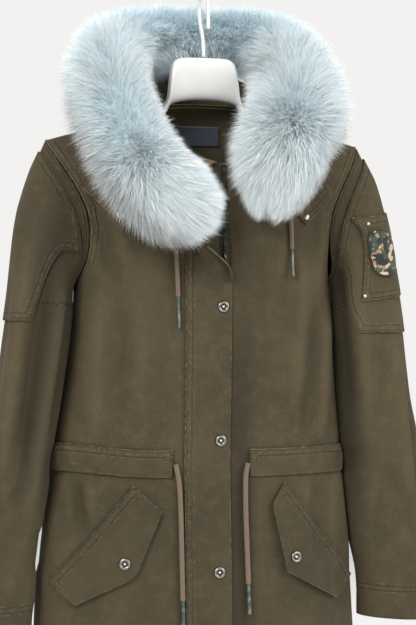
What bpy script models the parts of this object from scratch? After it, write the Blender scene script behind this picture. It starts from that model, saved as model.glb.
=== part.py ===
"""Fur trimmed parka on a hanger, in metres: +Z up, front towards -Y, the wearer's left towards +X.

The origin is the inner top of the hanger's hook, where a rail carries it. Every cloth piece is a
thin wall. Panels are grids of points on one body surface or one sleeve surface, pushed out by the
thickness of what lies below them, so pieces follow each other without touching.
"""

import math

import bpy
from mathutils import Matrix, Vector
from mathutils.bvhtree import BVHTree

# ---- driving dimensions -------------------------------------------------------------------
WALL = 0.0015             # shell cloth
GAP = 0.0003              # between pieces at a seam or in a stack
SEAM_SHIFT = 0.0007       # each side of the shoulder and side seams, so the inner faces clear too
ARMHOLE_GAP = 0.0011      # where body and sleeve meet at an angle
LEAST_LIFT = WALL + GAP   # how far a piece's outer face lies above the outer face below it
ARMHOLE_TOP = -0.208      # level of the shoulder point
UNDERARM = -0.388
FRONT_HEM = -0.985
BACK_DROP = 0.018         # how much lower the back hem hangs at its middle
NECK_HALF = 0.078         # half width of the neck opening
ZIP_RIGHT_EDGE = 0.004    # where the right front ends at the zip
ZIP_LEFT_EDGE = 0.018     # where the left front starts
ZIP_TOP = -0.238
ZIP_FOOT = -0.955
FLAP_SEAM = -0.040        # the storm flap is sewn on here
FLAP_WIDTH = 0.0605
FLAP_TOP = -0.350
FLAP_FLAT = -0.402        # below this level the storm flap lies flat
FLAP_OPEN_ANGLE = math.radians(92)
WAIST_CORD = 0.0066       # diameters
HOOD_CORD = 0.0058
HOOK_ROD = 0.0056
HOOK_BEND = 0.0268        # radius of the hook's centre line over the rail
HANGER_TOP = -0.0925
SHAPE_POWER = 2.5         # how square the body's cross-section is
UPPER_ROWS = 10


class Table:
    """Rows of numbers under named columns, read smoothly between the rows by the first column."""

    def __init__(self, columns, *rows):
        self.names = columns.split()
        self.rows = sorted(rows)

    def at(self, key, name):
        rows, column = self.rows, self.names.index(name)
        if key <= rows[0][0]:
            return rows[0][column]
        if key >= rows[-1][0]:
            return rows[-1][column]
        i = max(n for n, row in enumerate(rows[:-1]) if row[0] <= key)
        x0, x1 = rows[i][0], rows[i + 1][0]
        y0, y1 = rows[i][column], rows[i + 1][column]
        slope = (y1 - y0) / (x1 - x0)
        before = (y0 - rows[i - 1][column]) / (x0 - rows[i - 1][0]) if i else slope
        after = (
            (rows[i + 2][column] - y1) / (rows[i + 2][0] - x1) if i + 2 < len(rows) else slope
        )
        start = (before + slope) / 2 if before * slope > 0 else 0.0
        end = (slope + after) / 2 if slope * after > 0 else 0.0
        t = (key - x0) / (x1 - x0)
        span = x1 - x0
        return (
            y0 * (2 * t**3 - 3 * t**2 + 1)
            + start * span * (t**3 - 2 * t**2 + t)
            + y1 * (3 * t**2 - 2 * t**3)
            + end * span * (t**3 - t**2)
        )


# The body's half widths to the wearer's right and left, and its depths, by level.
BODY = Table(
    "level right left front back",
    (-0.150, 0.236, 0.238, 0.060, 0.048),
    (-0.205, 0.232, 0.235, 0.062, 0.052),
    (-0.250, 0.222, 0.225, 0.066, 0.056),
    (-0.300, 0.202, 0.205, 0.070, 0.060),
    (-0.340, 0.187, 0.189, 0.072, 0.062),
    (-0.388, 0.172, 0.172, 0.073, 0.062),
    (-0.450, 0.177, 0.1745, 0.073, 0.060),
    (-0.520, 0.188, 0.1790, 0.070, 0.056),
    (-0.600, 0.201, 0.182, 0.065, 0.052),
    (-0.628, 0.203, 0.184, 0.063, 0.050),
    (-0.660, 0.206, 0.188, 0.065, 0.052),
    (-0.700, 0.212, 0.194, 0.068, 0.055),
    (-0.760, 0.218, 0.200, 0.071, 0.058),
    (-0.830, 0.223, 0.204, 0.073, 0.060),
    (-0.900, 0.227, 0.208, 0.075, 0.062),
    (-1.010, 0.232, 0.214, 0.078, 0.066),
)
SHOULDER = Table(
    "x level drop",
    (0.000, -0.110, 0.070),
    (0.040, -0.126, 0.085),
    (0.078, -0.166, 0.110),
    (0.120, -0.180, 0.120),
    (0.160, -0.192, 0.120),
    (0.213, -0.208, 0.120),
    (0.240, -0.216, 0.120),
)
NECKLINE = Table(
    "x front back",
    (0.000, -0.240, -0.1530),
    (0.030, -0.229, -0.1545),
    (0.055, -0.206, -0.1580),
    (0.070, -0.182, -0.1625),
    (0.078, -0.166, -0.1660),
)
ARMHOLE = Table(
    "level x",
    (-0.208, 0.213),
    (-0.228, 0.203),
    (-0.250, 0.190),
    (-0.288, 0.168),
    (-0.330, 0.160),
    (-0.360, 0.162),
    (-0.378, 0.167),
    (-0.388, 0.172),
)


def smooth(value, low, high):
    t = min(1.0, max(0.0, (value - low) / (high - low)))
    return t * t * (3 - 2 * t)


def body(x, z, face, lift=0.0):
    """A point of the body's outer surface at (x, z), on the front (face -1) or the back (+1)."""

    def depth(px, pz):
        reach = BODY.at(pz, "left" if px > 0 else "right")
        full = BODY.at(pz, "front" if face < 0 else "back")
        inside = max(0.0, 1 - (abs(px) / reach) ** SHAPE_POWER)
        s = (SHOULDER.at(abs(px), "level") - pz) / SHOULDER.at(abs(px), "drop")
        s = min(1.0, max(0.0, s))
        ramp = math.sqrt(max(0.0, 1 - (1 - s) ** 2))
        wave = 0.0035 * smooth(-pz, 0.66, 0.95) * math.cos(52 * px + 1.3 * face)
        return face * (full * inside ** (1 / SHAPE_POWER) * ramp + wave * inside)

    point = Vector((x, depth(x, z), z))
    if not lift:
        return point
    step = 0.0015
    inner = x - math.copysign(step, x)
    across = Vector((x, point.y, z)) - Vector((inner, depth(inner, z), z))
    down = Vector((x, depth(x, z - step), z - step)) - point
    normal = across.cross(down).normalized()
    if normal.y * face < 0:
        normal.negate()
    return point + lift * normal


# ---- making objects -----------------------------------------------------------------------
for old in list(bpy.data.objects):
    bpy.data.objects.remove(old)
parka = bpy.data.collections.new("fur_trimmed_parka_on_hanger")
bpy.context.scene.collection.children.link(parka)


def material(name, colour, roughness, metallic=0.0):
    made = bpy.data.materials.new(name)
    made.use_nodes = True
    shader = made.node_tree.nodes["Principled BSDF"]
    shader.inputs["Base Color"].default_value = (*colour, 1)
    shader.inputs["Roughness"].default_value = roughness
    shader.inputs["Metallic"].default_value = metallic
    return made


TWILL = material("olive_cotton_twill", (0.105, 0.080, 0.048), 0.85)
CORD = material("taupe_cord", (0.20, 0.145, 0.10), 0.8)
TIP = material("grey_green_metal_tip", (0.21, 0.25, 0.22), 0.4, 0.6)
SNAP = material("antique_silver", (0.35, 0.33, 0.31), 0.35, 1.0)
COPPER = material("copper_zip_slider", (0.55, 0.27, 0.12), 0.35, 1.0)
TAPE = material("dark_zip_tape", (0.03, 0.03, 0.035), 0.7)
LABEL = material("navy_label", (0.012, 0.014, 0.025), 0.6)
PATCH = material("woodland_camouflage", (0.13, 0.13, 0.07), 0.8)
FUR = material("pale_blue_fox_fur", (0.48, 0.62, 0.68), 0.9)
WHITE = material("white_plastic", (0.80, 0.80, 0.78), 0.35)


def add(name, data, finish):
    thing = bpy.data.objects.new(name, data)
    thing.data.materials.append(finish)
    parka.objects.link(thing)
    return thing


skins = {}


def skin_tree(name):
    return BVHTree.FromPolygons(*skins[name])


SAMPLES = [(u / 2, v / 2) for u in range(3) for v in range(3)]


def settled(grid, bases, clearance, around=False):
    """Raises a grid's points until its faces, too, clear the faceted skins that it lies on."""
    trees = [skin_tree(name) for name in bases]
    rows, columns = len(grid), len(grid[0])
    for _ in range(8):
        raised = {}
        for r in range(rows - 1):
            for c in range(columns if around else columns - 1):
                beside = (c + 1) % columns
                corners = ((r, c), (r, beside), (r + 1, c), (r + 1, beside))
                a, b, d, e = (grid[i][j] for i, j in corners)
                for u, v in SAMPLES:
                    spot = a.lerp(b, u).lerp(d.lerp(e, u), v)
                    for tree in trees:
                        foot, normal, _, distance = tree.find_nearest(spot)
                        if foot is None or distance > 0.02:
                            continue
                        height = (spot - foot).dot(normal)
                        lack = clearance - height
                        if lack <= 0 or (distance > 0.003 and abs(height) < 0.6 * distance):
                            continue
                        for corner in corners:
                            if lack > raised.get(corner, (0, None))[0]:
                                raised[corner] = (lack, normal)
        if not raised:
            break
        for (r, c), (lack, normal) in raised.items():
            grid[r][c] = grid[r][c] + normal * (lack + 0.00003)
    return grid


def seat(name, near):
    """The place on a skin nearest to a point, just clear of it, and the skin's normal there."""
    spot, normal, _, _ = skin_tree(name).find_nearest(near)
    return spot + normal * (GAP + 0.0001), normal


def sheet(name, grid, inside, finish=TWILL, wall=WALL, around=False):
    """A cloth wall: rows of points on its outer face, thickened towards the inside point."""
    rows, columns = len(grid), len(grid[0])
    points = [point for row in grid for point in row]
    faces = []
    for r in range(rows - 1):
        for c in range(columns if around else columns - 1):
            right = (c + 1) % columns
            a, b = r * columns + c, r * columns + right
            faces.append((a, b, b + columns, a + columns))
    r, c = (rows - 1) // 2, (columns - 1) // 2
    a, b, d = grid[r][c], grid[r][c + 1], grid[r + 1][c]
    if (b - a).cross(d - a).dot(a - inside) < 0:
        faces = [face[::-1] for face in faces]
    mesh = bpy.data.meshes.new(name)
    mesh.from_pydata(points, [], faces)
    mesh.shade_smooth()
    thing = add(name, mesh, finish)
    solid = thing.modifiers.new("wall", "SOLIDIFY")
    solid.thickness = wall
    solid.offset = -1
    skins[name] = (points, faces)
    return thing


def tube(name, points, diameter, finish, sides=2):
    """A cord or a rod: a curve through the given points, with round section and filled ends."""
    curve = bpy.data.curves.new(name, "CURVE")
    curve.dimensions = "3D"
    curve.bevel_depth = diameter / 2
    curve.bevel_resolution = sides
    curve.use_fill_caps = True
    line = curve.splines.new("POLY")
    line.points.add(len(points) - 1)
    for knot, point in zip(line.points, points):
        knot.co = (*point, 1)
    return add(name, curve, finish)


def smooth_path(knots, spacing):
    """Evenly spaced points on a smooth curve through the knots."""
    fine = []
    for i in range(len(knots) - 1):
        p0 = knots[max(0, i - 1)]
        p1, p2 = knots[i], knots[i + 1]
        p3 = knots[min(len(knots) - 1, i + 2)]
        for n in range(24):
            t = n / 24
            fine.append(
                0.5 * (2 * p1 + (p2 - p0) * t + (2 * p0 - 5 * p1 + 4 * p2 - p3) * t * t
                       + (3 * p1 - p0 - 3 * p2 + p3) * t**3)
            )
    fine.append(knots[-1])
    lengths = [0.0]
    for a, b in zip(fine, fine[1:]):
        lengths.append(lengths[-1] + (b - a).length)
    count = max(2, round(lengths[-1] / spacing))
    path, at = [], 0
    for n in range(count + 1):
        wanted = lengths[-1] * n / count
        while at < len(fine) - 2 and lengths[at + 1] < wanted:
            at += 1
        share = (wanted - lengths[at]) / max(1e-9, lengths[at + 1] - lengths[at])
        path.append(fine[at].lerp(fine[at + 1], min(1.0, share)))
    return path


def turned(name, profile, foot, normal, finish, steps=12):
    """A small turned piece standing on a point of the cloth along its normal."""
    mesh = bpy.data.meshes.new(name)
    mesh.from_pydata([(x, 0, z) for x, z in profile], [(i, i + 1) for i in range(len(profile) - 1)], [])
    thing = add(name, mesh, finish)
    screw = thing.modifiers.new("turn", "SCREW")
    screw.steps = screw.render_steps = steps
    screw.use_merge_vertices = True
    screw.merge_threshold = 0.0001
    turn = normal.to_track_quat("Z", "Y").to_matrix().to_4x4()
    thing.matrix_world = Matrix.Translation(foot) @ turn
    return thing


RING_SNAP = (
    (0, 0.0020), (0.0026, 0.0014), (0.0040, 0.0012), (0.0060, 0.0026), (0.0077, 0.0010), (0.0077, 0),
    (0, 0),
)
DOME = ((0, 0.0020), (0.0022, 0.0016), (0.0038, 0.0004), (0.0038, 0), (0, 0))
RIVET = ((0, 0.0013), (0.0017, 0.0010), (0.0024, 0), (0, 0))


def snap_on(name, base, near, profile=RING_SNAP, steps=12):
    foot, normal = seat(base, near)
    turned(name, profile, foot, normal, SNAP, steps)


# ---- body panels --------------------------------------------------------------------------
LOWER_LEVELS = [-0.42, -0.46, -0.51, -0.56, -0.60, -0.628, -0.66, -0.71, -0.77, -0.83, -0.90, FRONT_HEM]
ARMHOLE_LEVELS = [
    (ARMHOLE_TOP + UNDERARM) / 2 + (ARMHOLE_TOP - UNDERARM) / 2 * math.cos(math.pi * r / UPPER_ROWS)
    for r in range(UPPER_ROWS + 1)
]


def top_level(x, face):
    """The neckline between the neck points, the shoulder seam beyond them."""
    if abs(x) <= NECK_HALF:
        return NECKLINE.at(abs(x), "front" if face < 0 else "back")
    return SHOULDER.at(abs(x), "level")


def body_column(side, share, start, face):
    """One column of a body panel from the top edge to the hem. share runs from start to the side."""
    reach = "left" if side > 0 else "right"
    column = []
    top_x = start + (side * (ARMHOLE.at(ARMHOLE_TOP, "x") - ARMHOLE_GAP) - start) * share
    top = top_level(top_x, face)
    for r, edge_level in enumerate(ARMHOLE_LEVELS):
        edge = side * (ARMHOLE.at(edge_level, "x") - ARMHOLE_GAP)
        fall = (1 - math.cos(math.pi * r / UPPER_ROWS)) / 2
        x = start + (edge - start) * share
        z = top + (UNDERARM - top) * fall
        point = body(x, z, face)
        if r == 0:
            point.y += face * SEAM_SHIFT
        column.append(point)
    for level in LOWER_LEVELS:
        edge = side * BODY.at(level, reach)
        x = start + (edge - start) * share
        z = level
        if level == FRONT_HEM and face > 0:
            z -= BACK_DROP * (1 - (x / edge) ** 2)
        point = body(x, z, face)
        column.append(point)
    if share == 1:
        for point in column[UPPER_ROWS:]:
            point.y += face * SEAM_SHIFT
    return column


def rows_of(columns):
    return [list(row) for row in zip(*columns)]


def neck_share(start):
    edge = ARMHOLE.at(ARMHOLE_TOP, "x") - ARMHOLE_GAP
    return (NECK_HALF - start) / (edge - start)


SPACING = (0.0, 0.15, 0.5, 0.64, 0.77, 0.87, 0.94, 0.983, 1.0)
heart = Vector((0, 0, -0.5))
for name, side, start in (("front_right", -1, ZIP_RIGHT_EDGE), ("front_left", 1, ZIP_LEFT_EDGE)):
    shares = sorted({*SPACING, neck_share(side * start)})
    sheet(name, rows_of([body_column(side, share, start, -1) for share in shares]), heart)
shares = sorted({*SPACING, neck_share(0.0)})
back = [body_column(-1, share, 0.0, 1) for share in shares[:0:-1]]
back += [body_column(1, share, 0.0, 1) for share in shares]
sheet("back", rows_of(back), heart)

# ---- sleeves ------------------------------------------------------------------------------
# Each row is a ring from its outer point to its inner point; the armhole itself is ring 0.
SLEEVES = {
    -1: Table(
        "ring outer_x outer_z inner_x inner_z middle_y depth",
        (1, 0.2310, -0.248, 0.1775, -0.403, -0.002, 0.0570),
        (2, 0.2460, -0.296, 0.1790, -0.428, -0.004, 0.0570),
        (3, 0.2535, -0.345, 0.1800, -0.455, -0.006, 0.0550),
        (4, 0.2600, -0.398, 0.1840, -0.485, -0.008, 0.0530),
        (5, 0.2675, -0.455, 0.1905, -0.520, -0.010, 0.0510),
        (6, 0.2760, -0.520, 0.1975, -0.560, -0.012, 0.0480),
        (7, 0.2850, -0.585, 0.2060, -0.607, -0.014, 0.0450),
        (8, 0.2950, -0.650, 0.2115, -0.660, -0.016, 0.0420),
        (9, 0.3030, -0.705, 0.2200, -0.709, -0.018, 0.0400),
        (10, 0.3090, -0.760, 0.2275, -0.760, -0.020, 0.0380),
        (11, 0.3130, -0.805, 0.2320, -0.803, -0.021, 0.0365),
        (12, 0.3160, -0.852, 0.2335, -0.848, -0.022, 0.0350),
    ),
    1: Table(
        "ring outer_x outer_z inner_x inner_z middle_y depth",
        (1, 0.2330, -0.252, 0.1775, -0.403, -0.002, 0.0570),
        (2, 0.2465, -0.298, 0.1785, -0.428, -0.003, 0.0570),
        (3, 0.2565, -0.348, 0.1790, -0.455, -0.004, 0.0550),
        (4, 0.2655, -0.400, 0.1800, -0.482, -0.005, 0.0530),
        (5, 0.2745, -0.458, 0.1815, -0.516, -0.006, 0.0510),
        (6, 0.2830, -0.520, 0.1840, -0.556, -0.007, 0.0490),
        (7, 0.2895, -0.582, 0.1885, -0.602, -0.008, 0.0470),
        (8, 0.2965, -0.646, 0.1925, -0.656, -0.009, 0.0440),
        (9, 0.3020, -0.700, 0.1990, -0.705, -0.010, 0.0415),
        (10, 0.3070, -0.755, 0.2055, -0.757, -0.011, 0.0390),
        (11, 0.3100, -0.802, 0.2090, -0.800, -0.012, 0.0370),
        (12, 0.3110, -0.846, 0.2090, -0.838, -0.012, 0.0355),
    ),
}
LAST_RING = 12
AROUND = 2 * UPPER_ROWS


def sleeve_ring(side, ring, turn):
    """A point at turn radians round from the outer point by the front, ring counted down the arm."""
    if ring <= 0:
        middle, half = (ARMHOLE_TOP + UNDERARM) / 2, (ARMHOLE_TOP - UNDERARM) / 2
        level = middle + half * math.cos(turn)
        face = -1 if math.sin(turn) >= 0 else 1
        x = side * ARMHOLE.at(level, "x")
        flat = body(x, level, face)
        return Vector((x + side * ARMHOLE_GAP * 0.2, flat.y, level))
    table = SLEEVES[side]
    read = {name: table.at(max(1, ring), name) for name in table.names[1:]}
    outer = Vector((side * read["outer_x"], read["middle_y"], read["outer_z"]))
    inner = Vector((side * read["inner_x"], read["middle_y"], read["inner_z"]))
    swing = math.copysign(abs(math.sin(turn)) ** 0.92, math.sin(turn))
    point = (outer + inner) / 2 + (outer - inner) / 2 * math.cos(turn)
    point.y -= read["depth"] * swing
    if ring < 1:
        return sleeve_ring(side, 0, turn).lerp(point, ring)
    return point


def sleeve(side, ring, turn, lift=0.0):
    point = sleeve_ring(side, ring, turn)
    if not lift:
        return point
    along = sleeve_ring(side, ring + 0.15, turn) - sleeve_ring(side, max(0, ring - 0.15), turn)
    across = sleeve_ring(side, ring, turn + 0.08) - sleeve_ring(side, ring, turn - 0.08)
    normal = along.cross(across).normalized()
    middle = (sleeve_ring(side, ring, turn) + sleeve_ring(side, ring, turn + math.pi)) / 2
    if normal.dot(point - middle) < 0:
        normal.negate()
    return point + lift * normal


def sleeve_ring_at(side, turn, level):
    """The ring whose point at this turn lies at the given level."""
    low, high = 0.0, float(LAST_RING)
    for _ in range(30):
        middle = (low + high) / 2
        if sleeve_ring(side, middle, turn).z > level:
            low = middle
        else:
            high = middle
    return (low + high) / 2


RINGS = [0, 0.5, *range(1, LAST_RING + 1)]
for name, side in (("sleeve_right", -1), ("sleeve_left", 1)):
    grid = [
        [sleeve(side, ring, 2 * math.pi * n / AROUND) for n in range(AROUND)] for ring in RINGS
    ]
    sheet(name, grid, Vector((side * 0.225, 0, -0.53)), around=True)

# ---- upper-arm panels, sleeve pocket and patch --------------------------------------------
ARM_PANELS = {
    -1: {"foot": -0.442, "front": (122, 100, 86, 70), "back": (-122, -110, -100, -86)},
    1: {"foot": -0.458, "front": (132, 137, 136, 120), "back": (-112, -100, -90, -80)},
}


def between(values, share):
    place = share * (len(values) - 1)
    i = min(int(place), len(values) - 2)
    return values[i] + (values[i + 1] - values[i]) * (place - i)


for name, side in (("upper_arm_panel_right", -1), ("upper_arm_panel_left", 1)):
    panel, grid = ARM_PANELS[side], []
    for r in range(9):
        down = r / 8
        row = []
        for c in range(15):
            front, rear = between(panel["front"], down), between(panel["back"], down)
            turn = math.radians(front + (rear - front) * c / 14)
            last = sleeve_ring_at(side, turn, panel["foot"])
            row.append(sleeve(side, 0.35 + (last - 0.35) * down, turn, LEAST_LIFT))
        grid.append(row)
    arm = "sleeve_left" if side > 0 else "sleeve_right"
    sheet(name, settled(grid, [arm], LEAST_LIFT + 3 * GAP), Vector((side * 0.21, 0, -0.33)))

POCKET_LIFT = 2 * (WALL + GAP)


def on_sleeve(side, degrees, level, lift):
    turn = math.radians(degrees)
    return sleeve(side, sleeve_ring_at(side, turn, level), turn, lift)


POCKET_TOP, POCKET_FOOT = -0.307, -0.417
POCKET_FRONT_TOP, POCKET_FRONT_FOOT, POCKET_BACK = 86, 112, 8
grid = []
for r in range(7):
    level = POCKET_TOP + (POCKET_FOOT - POCKET_TOP) * r / 6
    row = []
    for c in range(8):
        front = POCKET_FRONT_TOP + (POCKET_FRONT_FOOT - POCKET_FRONT_TOP) * r / 6
        degrees = front + (POCKET_BACK - front) * c / 7
        row.append(on_sleeve(1, degrees, level + 0.010 * c / 7, POCKET_LIFT))
    grid.append(row)
grid = settled(grid, ["upper_arm_panel_left"], LEAST_LIFT + GAP)
sheet("sleeve_pocket", grid, Vector((0.21, 0, -0.35)))

PATCH_LEVEL, PATCH_HALF_HEIGHT = -0.353, 0.031
PATCH_DEGREES, PATCH_HALF_DEGREES = 66, 25
grid = []
for r in range(9):
    up = math.cos(math.pi * (r + 0.35) / 8.7)
    half = PATCH_HALF_DEGREES * (1 - abs(up) ** 3) ** (1 / 3)
    row = []
    for c in range(7):
        degrees = PATCH_DEGREES + half * (c - 3) / 3
        level = PATCH_LEVEL + PATCH_HALF_HEIGHT * up
        row.append(on_sleeve(1, degrees, level, POCKET_LIFT + 0.0014))
    grid.append(row)
PATCH_WALL = 0.0011
grid = settled(grid, ["sleeve_pocket"], PATCH_WALL + GAP)
sheet("camouflage_patch", grid, Vector((0.21, 0, -0.35)), PATCH, PATCH_WALL)

for name, degrees, level in (("pocket_rivet_upper", 80, -0.3150), ("pocket_rivet_lower", 106, -0.4095)):
    snap_on(name, "sleeve_pocket", on_sleeve(1, degrees, level, POCKET_LIFT), RIVET, 10)

# ---- zip, storm flap and its snaps --------------------------------------------------------
def strip(name, left, right, levels, lift, finish, wall, columns=2):
    grid = []
    for level in levels:
        row = []
        for c in range(columns):
            x = left + (right - left) * c / (columns - 1)
            row.append(body(x, level, -1, lift))
        grid.append(row)
    return sheet(name, grid, Vector((0, 0.02, levels[len(levels) // 2])), finish, wall)


ZIP_LEVELS = [ZIP_TOP + (ZIP_FOOT - ZIP_TOP) * n / 22 for n in range(23)]
ZIP_MIDDLE = (ZIP_RIGHT_EDGE + ZIP_LEFT_EDGE) / 2
TAPE_WALL = 0.0012
strip("zip_tape_right", ZIP_RIGHT_EDGE + GAP, ZIP_MIDDLE - GAP / 2, ZIP_LEVELS, 0, TAPE, TAPE_WALL)
strip("zip_tape_left", ZIP_MIDDLE + GAP / 2, ZIP_LEFT_EDGE - GAP, ZIP_LEVELS, 0, TAPE, TAPE_WALL)

SLIDER_LEVEL, SLIDER_LENGTH = -0.358, 0.010
SLIDER_DEPTH, SLIDER_WIDTH = 0.0024, 0.0080
bpy.ops.mesh.primitive_cube_add(size=1)
slider = bpy.context.active_object
slider.name = "zip_slider"
slider.dimensions = (SLIDER_WIDTH, SLIDER_DEPTH, SLIDER_LENGTH)
slider.location = body(ZIP_MIDDLE, SLIDER_LEVEL, -1, GAP * 1.5 + SLIDER_DEPTH / 2)
slider.data.materials.append(COPPER)
for holder in list(slider.users_collection):
    holder.objects.unlink(slider)
parka.objects.link(slider)

FLAP_LEVELS = [FLAP_TOP, -0.358, -0.366, -0.375, -0.385, -0.394, -0.404]
FLAP_LEVELS += [-0.42, -0.45, -0.48, -0.52, -0.56, -0.60, -0.628, -0.66, -0.71, -0.77, -0.83, -0.90, -0.978]
FLAP_LIFT = WALL + 2 * GAP
grid = []
for level in FLAP_LEVELS:
    open_share = 1 - smooth(-level, -FLAP_TOP - 0.012, -FLAP_FLAT)
    angle = FLAP_OPEN_ANGLE * open_share
    root = body(FLAP_SEAM, level, -1, FLAP_LIFT)
    row, at = [root], root
    for c in range(1, 6):
        turn = angle * smooth(c, 0, 2.2)
        flat = body(FLAP_SEAM + FLAP_WIDTH * c / 5, level, -1, FLAP_LIFT)
        ahead = FLAP_WIDTH / 5
        at = at + Vector((ahead * math.cos(turn), -ahead * math.sin(turn), 0))
        row.append(flat.lerp(at, smooth(angle, 0, 0.25)) if angle else flat)
    grid.append(row)
grid = settled(grid, ["front_right", "front_left", "zip_tape_right", "zip_tape_left"], LEAST_LIFT)
sheet("storm_flap", grid, Vector((0, 0.02, -0.6)))

FLAP_SNAPS = ((0.0090, -0.424), (0.0075, -0.597), (0.0045, -0.767), (0.0045, -0.925))
for number, (x, level) in enumerate(FLAP_SNAPS, 1):
    snap_on(f"flap_snap_{number}", "storm_flap", body(x, level, -1, FLAP_LIFT))

# ---- waist casing, its cords and tips -----------------------------------------------------
CASING_HEIGHT = 0.036


def casing(name, face, ends, middle_at):
    """A tunnel band sewn along both edges, round over the cord inside it."""
    columns = 16
    first, last = ends
    grid = []
    for across, puff in ((1.0, 0.0), (0.55, 0.0022), (0.0, 0.0030), (-0.55, 0.0022), (-1.0, 0.0)):
        row = []
        for n in range(columns + 1):
            if face > 0:
                x = first + (last - first) * (1 - math.cos(math.pi * n / columns)) / 2
            else:
                x = first + (last - first) * math.sin(math.pi / 2 * n / columns)
            level = middle_at(x) + across * CASING_HEIGHT / 2
            row.append(body(x, level, face, WALL + GAP + puff + 0.0003 * math.cos(900 * x)))
        grid.append(row)
    bases = ["back"] if face > 0 else ["front_right", "front_left"]
    return sheet(name, settled(grid, bases, LEAST_LIFT), Vector((0, 0, -0.62)))


CASING_LEVEL = -0.6265
CASING_REACH = {side: 0.985 * BODY.at(CASING_LEVEL, side) for side in ("right", "left")}


def right_casing_level(x):
    return CASING_LEVEL + 0.009 * smooth(-x, 0.08, 0.2)


def left_casing_level(x):
    return CASING_LEVEL + 0.02 * max(0, x - 0.1)


casing("waist_casing_right", -1, (-0.056, -CASING_REACH["right"]), right_casing_level)
casing("waist_casing_left", -1, (0.047, CASING_REACH["left"]), left_casing_level)
casing("waist_casing_back", 1, (-CASING_REACH["right"], CASING_REACH["left"]), lambda x: CASING_LEVEL)


def hanging_cord(name, knots, diameter, tip_length, tip_diameter, bases):
    """A cord lying down the front from its exit, seated on what is behind it, ending in a tip."""
    route = [body(x, z, -1, GAP + diameter / 2 + out) for x, z, out in knots]
    path = smooth_path(route, 2.4 * diameter)
    trees = [skin_tree(base) for base in bases]
    nearest = min(tree.find_nearest(point)[3] for tree in trees for point in path)
    path = [point + Vector((0, nearest - diameter / 2 - 1.5 * GAP, 0)) for point in path]
    tube(name, path, diameter, CORD)
    ahead = (path[-1] - path[-2]).normalized()
    start = path[-1] + GAP * ahead
    tip = [start, start + ahead * tip_length / 2, start + ahead * tip_length]
    tube(name + "_tip", tip, tip_diameter, TIP)


hanging_cord(
    "waist_cord_right",
    ((-0.0515, -0.627, 0.0004), (-0.0490, -0.640, 0.0012), (-0.0470, -0.656, 0.0008),
     (-0.0458, -0.690, 0.0006), (-0.0450, -0.747, 0.0004), (-0.0440, -0.800, 0.0006)),
    WAIST_CORD, 0.048, 0.0056, ("front_right", "storm_flap", "waist_casing_right"),
)
hanging_cord(
    "waist_cord_left",
    ((0.0440, -0.627, 0.0004), (0.0412, -0.637, 0.0012), (0.0398, -0.670, 0.0006), (0.0404, -0.720, 0.0004),
     (0.0418, -0.782, 0.0006)),
    WAIST_CORD, 0.040, 0.0056, ("front_left", "waist_casing_left"),
)
hanging_cord(
    "hood_cord_right",
    ((-0.0530, -0.352, 0.0002), (-0.0512, -0.380, 0.0004), (-0.0500, -0.413, 0.0006)),
    HOOD_CORD, 0.039, 0.0044, ("front_right",),
)
hanging_cord(
    "hood_cord_left",
    ((0.1000, -0.300, 0.0002), (0.1012, -0.322, 0.0004), (0.1022, -0.346, 0.0006)),
    HOOD_CORD, 0.039, 0.0044, ("front_left",),
)

# ---- pocket flaps -------------------------------------------------------------------------
# The mouth is the sewn slanting edge; the free edge has a blunt point.
POCKET_FLAPS = {
    "right": {
        "mouth": ((-0.2090, -0.776), (-0.1060, -0.6535)),
        "free": ((-0.1800, -0.806), (-0.1050, -0.7700), (-0.0700, -0.6880)),
        "snap": (-0.1180, -0.7525),
    },
    "left": {
        "mouth": ((0.1930, -0.781), (0.0950, -0.6520)),
        "free": ((0.1660, -0.808), (0.0945, -0.7690), (0.0755, -0.6815)),
        "snap": (0.1060, -0.7500),
    },
}
FLAP_STANDS, FLAP_RISE = 0.0008, 0.0022  # off the front at the mouth, and more at the middle
for name, flap in POCKET_FLAPS.items():
    grid = []
    for r in range(11):
        along = r / 10
        mouth = Vector(flap["mouth"][0]).lerp(Vector(flap["mouth"][1]), along)
        corner = 0.6
        if along <= corner:
            free = Vector(flap["free"][0]).lerp(Vector(flap["free"][1]), along / corner)
        else:
            free = Vector(flap["free"][1]).lerp(Vector(flap["free"][2]), (along - corner) / (1 - corner))
        row = []
        for c in range(6):
            spot = mouth.lerp(free, c / 5)
            rise = FLAP_STANDS + FLAP_RISE * math.sin(math.pi * c / 5 / 1.3)
            row.append(body(spot.x, spot.y, -1, LEAST_LIFT + rise))
        grid.append(row)
    grid = settled(grid, [f"front_{name}"], LEAST_LIFT)
    sheet(f"pocket_flap_{name}", grid, Vector((0, 0, -0.72)))
    snap_on(f"pocket_snap_{name}", f"pocket_flap_{name}", body(*flap["snap"], -1, LEAST_LIFT + FLAP_RISE))

# ---- shoulder tabs ------------------------------------------------------------------------
TAB_END, TAB_ROOT, TAB_HALF = (0.1150, -0.3080), (0.1600, -0.2640), 0.0125
for name, side in (("right", -1), ("left", 1)):
    end, root = Vector(TAB_END), Vector(TAB_ROOT)
    sideways = Vector((-(root - end).y, (root - end).x)).normalized()
    grid = []
    for r in range(6):
        row = []
        for c in range(4):
            spot = end.lerp(root, r / 5) + sideways * TAB_HALF * (c / 1.5 - 1)
            row.append(body(side * spot.x, spot.y, -1, WALL + GAP + 0.0006))
        grid.append(row)
    grid = settled(grid, [f"front_{name}"], LEAST_LIFT)
    sheet(f"shoulder_tab_{name}", grid, Vector((0, 0, -0.3)))
    snap_on(f"tab_snap_{name}", f"shoulder_tab_{name}", body(side * 0.1245, -0.3065, -1, LEAST_LIFT), DOME)

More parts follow.
